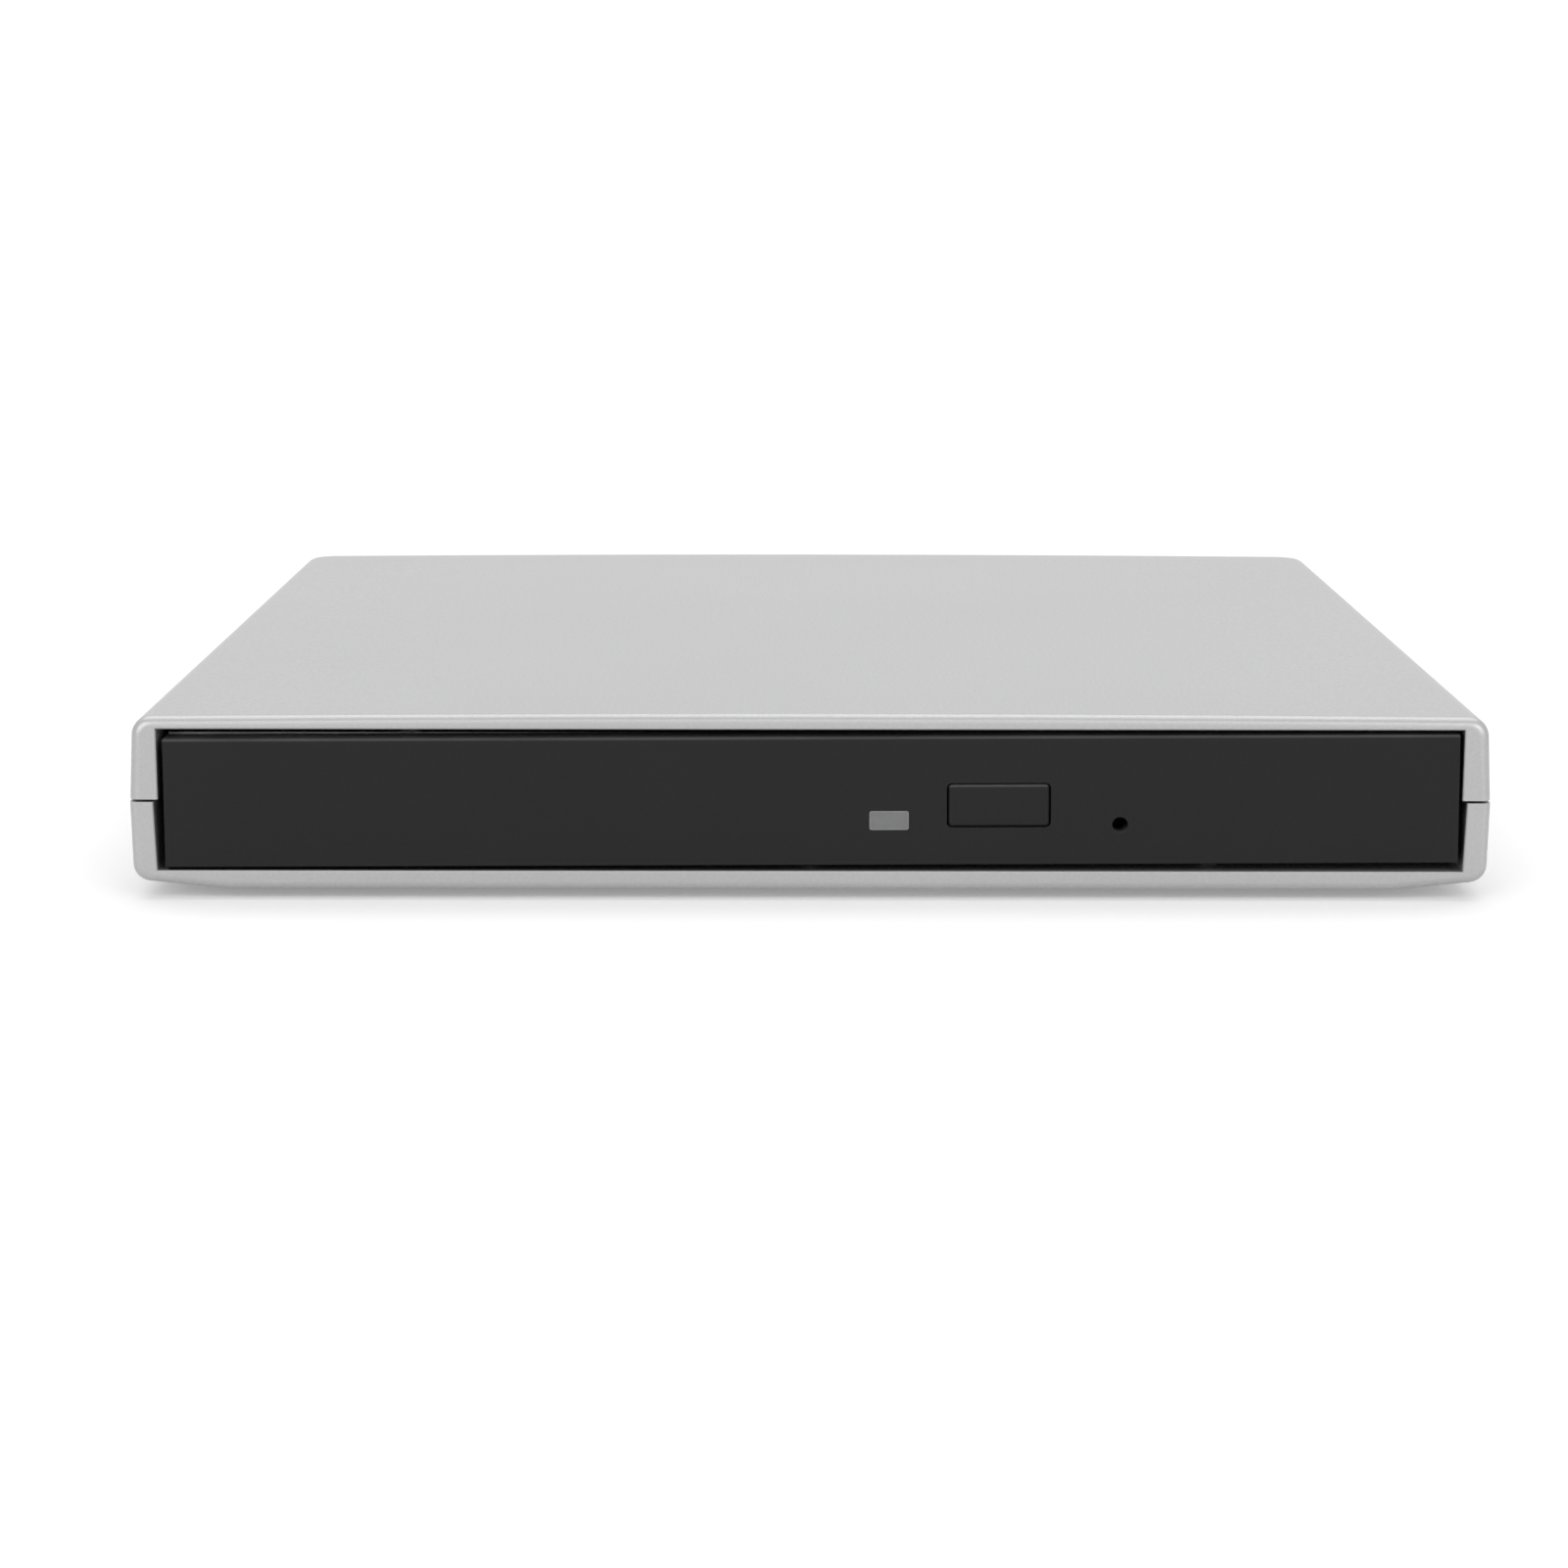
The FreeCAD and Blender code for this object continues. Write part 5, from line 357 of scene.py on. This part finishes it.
def lens_glass():
    """Coated lens: a deep blue-violet glint on clear glass."""
    tree = Tree("lens_glass")
    facing = tree.nodes.new("ShaderNodeLayerWeight")
    facing.inputs["Blend"].default_value = 0.35
    tree.set("Base Color", tree.mixed(facing.outputs["Facing"], (0.10, 0.12, 0.42), (0.35, 0.20, 0.55)))
    tree.set("Roughness", 0.04)
    tree.set("Transmission Weight", 0.55)
    tree.set("IOR", 1.55)
    tree.set("Coat Weight", 0.6)
    tree.set("Normal", tree.bump(tree.noise(2 * MM, 1.0), 0.001 * MM))
    return tree


def chip_black():
    """Moulded component bodies with a fine matt skin."""
    return moulded("chip_black", (0.018, 0.018, 0.019), 0.55, 0.12 * MM, 0.006 * MM, mottle=0.15)


def connector_plastic():
    """Black socket and lens holder plastic, smoother than the bezel."""
    return moulded("connector_plastic", (0.022, 0.022, 0.022), 0.42, 0.4 * MM, 0.004 * MM, mottle=0.1)


def rail_plastic():
    """Slippery acetal with a soft gloss."""
    return moulded("rail_plastic", (0.040, 0.040, 0.042), 0.36, 0.8 * MM, 0.004 * MM, mottle=0.1)


def tray_plastic():
    """Black tray moulding with a fine texture."""
    colour = (0.016, 0.016, 0.017)
    return moulded("tray_plastic", colour, 0.55, 0.28 * MM, 0.012 * MM, mottle=0.08, specular=0.3)


def cover_black():
    """Black painted sheet over the mechanism."""
    colour = (0.012, 0.012, 0.0125)
    return moulded("cover_black", colour, 0.38, 0.18 * MM, 0.006 * MM, mottle=0.08, specular=0.4)


def sheet_steel():
    """Galvanised sheet: rolled lines under faint crystal patches, with painted shade making it near
    black deep in gaps.
    """
    tree = brushed("sheet_steel", (0.56, 0.57, 0.58), 0.36)
    spangle = tree.mapped(tree.cells(3.5 * MM), 0.2, 0.8, 0.0, 0.25)
    tree.set("Base Color", tree.mixed(spangle, tree.base(), (0.44, 0.45, 0.47)))
    # Painted shade: near black deep in gaps, where shade falls.
    tree.set("Base Color", tree.mixed(tree.crevice_shade(3 * MM), tree.base(), (0.03, 0.03, 0.03)))
    return tree


def mechanism_steel():
    """Stamped plate with rolled lines."""
    return brushed("mechanism_steel", (0.47, 0.47, 0.48), 0.40, along=(1.0, 0.05, 1.0))


def rod_steel():
    """Ground and polished rod."""
    return brushed("rod_steel", (0.70, 0.70, 0.71), 0.16, EVENLY, 0.15 * MM, 0.0006 * MM)


def screw_steel():
    """Zinc plated screws."""
    return brushed("screw_steel", (0.42, 0.42, 0.43), 0.30, EVENLY, 0.2 * MM)


def spring_steel():
    """Bright drawn wire."""
    return brushed("spring_steel", (0.55, 0.55, 0.56), 0.25, EVENLY, 0.2 * MM)


def socket_metal():
    """Nickel plated sheet."""
    return brushed("socket_metal", (0.66, 0.65, 0.62), 0.24, along=(1.0, 0.08, 1.0), streak=0.25 * MM)


def pickup_metal():
    """Die cast zinc with a slightly rough skin."""
    return brushed("pickup_metal", (0.24, 0.24, 0.25), 0.48, EVENLY, 0.4 * MM, 0.008 * MM)


FINISHES = {
    make.__name__: make
    for make in (
        case_silver, bezel_plastic, lamp_lens, foot_rubber, circuit_board, stator_copper, cable_film,
        lens_glass, chip_black, connector_plastic, rail_plastic, tray_plastic, cover_black, sheet_steel,
        mechanism_steel, rod_steel, screw_steel, spring_steel, socket_metal, pickup_metal,
    )
}
MATERIALS = {name: make().material for name, make in FINISHES.items()}


def paint_nodes():
    """Each CAD node takes the finish of its slot in the record."""
    for part in frame["record"]["subparts"]:
        node = NODES[part["node"]]
        node.data.materials.clear()
        node.data.materials.append(MATERIALS[part["material_slot"]])


# Pieces drawn in place of the flat cable and eject spring nodes


CABLE_THICKNESS = 0.15 * MM
CABLE_SHIELD_GAP = 0.25 * MM
CABLE_RISE = 13.0 * MM
CABLE_PLUG_RISE = 0.9 * MM
FOLD_STEPS = 10
CONDUCTORS = 22
VALLEY_SHARE = 0.6


def arc(centre, radius, start, end, steps):
    """Points (y, z) on an arc about a centre, from one angle to another in degrees."""
    angles = [math.radians(start + (end - start) * step / steps) for step in range(steps + 1)]
    return [(centre[0] + radius * math.cos(a), centre[1] + radius * math.sin(a)) for a in angles]


def film(name, path, left, right):
    """A strip of cable film along a line of (y, z) points, with a raised rib over each conductor."""
    mesh = bpy.data.meshes.new(name)
    piece = bpy.data.objects.new(name, mesh)
    bpy.context.scene.collection.objects.link(piece)
    columns = 2 * CONDUCTORS + 1
    ring = 2 * columns
    half = CABLE_THICKNESS / 2
    corners = []
    for index, (y, z) in enumerate(path):
        ahead = Vector(path[min(index + 1, len(path) - 1)])
        behind = Vector(path[max(index - 1, 0)])
        along = (ahead - behind).normalized()
        for side in (1, -1):
            for column in range(columns):
                out = side * half * (1.0 if column % 2 else VALLEY_SHARE)
                x = left + (right - left) * column / (columns - 1)
                corners.append((x, y - along.y * out, z + along.x * out))
    faces = []
    loop = list(range(columns)) + list(range(ring - 1, columns - 1, -1))
    for row in range(len(path) - 1):
        for place in range(ring):
            a, b = loop[place], loop[(place + 1) % ring]
            faces.append((row * ring + a, row * ring + b, row * ring + ring + b, row * ring + ring + a))
    faces.append(tuple(reversed(loop)))
    faces.append(tuple((len(path) - 1) * ring + a for a in loop))
    mesh.from_pydata(corners, [], faces)
    mesh.validate()
    made = bmesh.new()
    made.from_mesh(mesh)
    bmesh.ops.recalc_face_normals(made, faces=made.faces)
    made.to_mesh(mesh)
    made.free()
    mesh.materials.append(MATERIALS["cable_film"])
    return piece


def make_flat_cable():
    """The flat cable, drawn as two folded legs: the lower leg lies on the chassis floor and is attached
    to the case, and the upper leg runs up from the fold.
    """
    (left, fold, floor), (right, board, top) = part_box("flat_cable")
    half = CABLE_THICKNESS / 2
    low = floor + half
    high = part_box("tray_shield")[0][2] - CABLE_SHIELD_GAP - half
    bend = (high - low) / 2
    turn = fold + half + bend
    rise = board - CABLE_RISE + half
    drop = board - 2 * CABLE_THICKNESS
    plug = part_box("main_board")[1][2] + CABLE_PLUG_RISE - half
    fixed = [(board, plug)] + arc((drop, plug - bend), bend, 90, 180, FOLD_STEPS)
    fixed += arc((drop - 2 * bend, low + bend), bend, 0, -90, FOLD_STEPS) + [(turn, low)]
    moving = arc((turn, low + bend), bend, 270, 90, FOLD_STEPS)
    moving += arc((rise - bend, high + bend), bend, -90, 0, FOLD_STEPS) + [(rise, top)]
    lower = film("flat_cable_lower_leg", fixed, left, right)
    upper = film("flat_cable_upper_leg", moving, left, right)
    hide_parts("flat_cable")
    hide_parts("flat_cable")
    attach(lower, "case")
    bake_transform(upper)


def make_eject_spring():
    """The eject spring, as a copy of its CAD mesh in the node's place."""
    piece = bpy.data.objects.new("eject_spring_coil", NODES["eject_spring"].data.copy())
    bpy.context.scene.collection.objects.link(piece)
    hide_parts("eject_spring")
    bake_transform(piece)


# Stage, camera and light

FLOOR_SIZE = 40
FLOOR_DROP = 0.05 * MM
SHADOW_REACH = 0.16
WHITE_FROM = 0.42
FLOOR_LIFT = 0.22
WORLD_LIGHT = 0.35
LAMP_TARGET = Vector((0, 0, 10)) * MM
CAMERA_CLIP = (0.02, 60)


def make_stage():
    """A wide pale floor that keeps the object's shadow and is plain white further away."""
    bpy.ops.mesh.primitive_plane_add(size=FLOOR_SIZE)
    floor = bpy.context.object
    floor.name = "floor"
    floor.location.z = -FLOOR_DROP
    tree = Tree("floor_pale")
    length = tree.nodes.new("ShaderNodeVectorMath")
    length.operation = "LENGTH"
    tree.join(tree.place, length.inputs[0])
    far = tree.mapped(length.outputs["Value"], SHADOW_REACH, WHITE_FROM, 0.0, 1.0)
    patches = tree.mapped(tree.noise(600 * MM), 0.3, 0.7, 0.0, 1.0)
    tree.set("Base Color", tree.mixed(patches, (0.90, 0.90, 0.90), (0.92, 0.92, 0.92)))
    tree.set("Roughness", 0.9)
    tree.set("Specular IOR Level", 0.0)
    glow = tree.nodes.new("ShaderNodeEmission")
    seen = seen_rays(tree.nodes, tree.links)
    lift = tree.nodes.new("ShaderNodeEmission")
    tree.join(tree.math("MULTIPLY", seen, FLOOR_LIFT), lift.inputs["Strength"])
    near = tree.nodes.new("ShaderNodeAddShader")
    tree.join(tree.shader.outputs["BSDF"], near.inputs[0])
    tree.join(lift.outputs["Emission"], near.inputs[1])
    mix = tree.nodes.new("ShaderNodeMixShader")
    tree.join(tree.math("MULTIPLY", far, seen), mix.inputs[0])
    tree.join(near.outputs["Shader"], mix.inputs[1])
    tree.join(glow.outputs["Emission"], mix.inputs[2])
    tree.join(mix.outputs["Shader"], tree.output.inputs["Surface"])
    floor.data.materials.append(tree.material)


def seen_rays(nodes, links):
    """1 for rays from the camera, off glossy surfaces and through glass, and 0 for the others."""
    path = nodes.new("ShaderNodeLightPath")
    total = path.outputs["Is Camera Ray"]
    for name in ("Is Glossy Ray", "Is Transmission Ray"):
        add = nodes.new("ShaderNodeMath")
        add.operation = "MAXIMUM"
        links.new(total, add.inputs[0])
        links.new(path.outputs[name], add.inputs[1])
        total = add.outputs["Value"]
    return total


def make_world():
    """White where it is seen, and a soft even light on the object."""
    world = bpy.data.worlds.new("studio")
    world.use_nodes = True
    nodes, links = world.node_tree.nodes, world.node_tree.links
    nodes.clear()
    output = nodes.new("ShaderNodeOutputWorld")
    background = nodes.new("ShaderNodeBackground")
    background.inputs["Color"].default_value = (1, 1, 1, 1)
    strength = nodes.new("ShaderNodeMapRange")
    strength.inputs["To Min"].default_value = WORLD_LIGHT
    strength.inputs["To Max"].default_value = 1.0
    links.new(seen_rays(nodes, links), strength.inputs["Value"])
    links.new(strength.outputs["Result"], background.inputs["Strength"])
    links.new(background.outputs["Background"], output.inputs["Surface"])
    bpy.context.scene.world = world


def softbox(name, place, size, watts):
    """A rectangular lamp that faces the object's middle."""
    data = bpy.data.lights.new(name, "AREA")
    data.shape = "RECTANGLE"
    data.size, data.size_y = size
    data.energy = watts
    lamp = bpy.data.objects.new(name, data)
    bpy.context.scene.collection.objects.link(lamp)
    lamp.location = place
    lamp.rotation_euler = (LAMP_TARGET - Vector(place)).to_track_quat("-Z", "Y").to_euler()


def make_lights():
    """Four large lamps: one overhead, one in front and above, and one at each side of the front."""
    softbox("overhead", (0.0, 0.30, 1.2), (1.7, 1.2), 9.3)
    softbox("front_above", (0.0, -1.3, 1.0), (1.4, 0.4), 1.6)
    for name, side in (("fill_left", -1), ("fill_right", 1)):
        softbox(name, (side * 0.85, -1.1, 0.5), (1.1, 0.9), 6.6)


def make_camera():
    """The camera that was fitted to the object's outline in the photograph."""
    data = bpy.data.cameras.new("camera")
    data.sensor_width = SENSOR
    data.lens = SENSOR * FOCAL_PIXELS / PICTURE_SIDE
    data.clip_start, data.clip_end = CAMERA_CLIP
    camera = bpy.data.objects.new("camera", data)
    bpy.context.scene.collection.objects.link(camera)
    ahead = Vector((
        math.sin(CAMERA_YAW) * math.cos(CAMERA_PITCH),
        math.cos(CAMERA_YAW) * math.cos(CAMERA_PITCH),
        -math.sin(CAMERA_PITCH),
    ))
    level = Vector((math.cos(CAMERA_YAW), -math.sin(CAMERA_YAW), 0))
    upright = level.cross(ahead)
    right = math.cos(CAMERA_ROLL) * level + math.sin(CAMERA_ROLL) * upright
    up = -math.sin(CAMERA_ROLL) * level + math.cos(CAMERA_ROLL) * upright
    turn = Matrix((right, up, -ahead)).transposed()
    camera.matrix_world = Matrix.Translation(CAMERA_PLACE) @ turn.to_4x4()
    bpy.context.scene.camera = camera


paint_nodes()
make_flat_cable()
make_eject_spring()
make_stage()
make_world()
make_lights()
make_camera()
bpy.context.scene.view_settings.view_transform = "Standard"
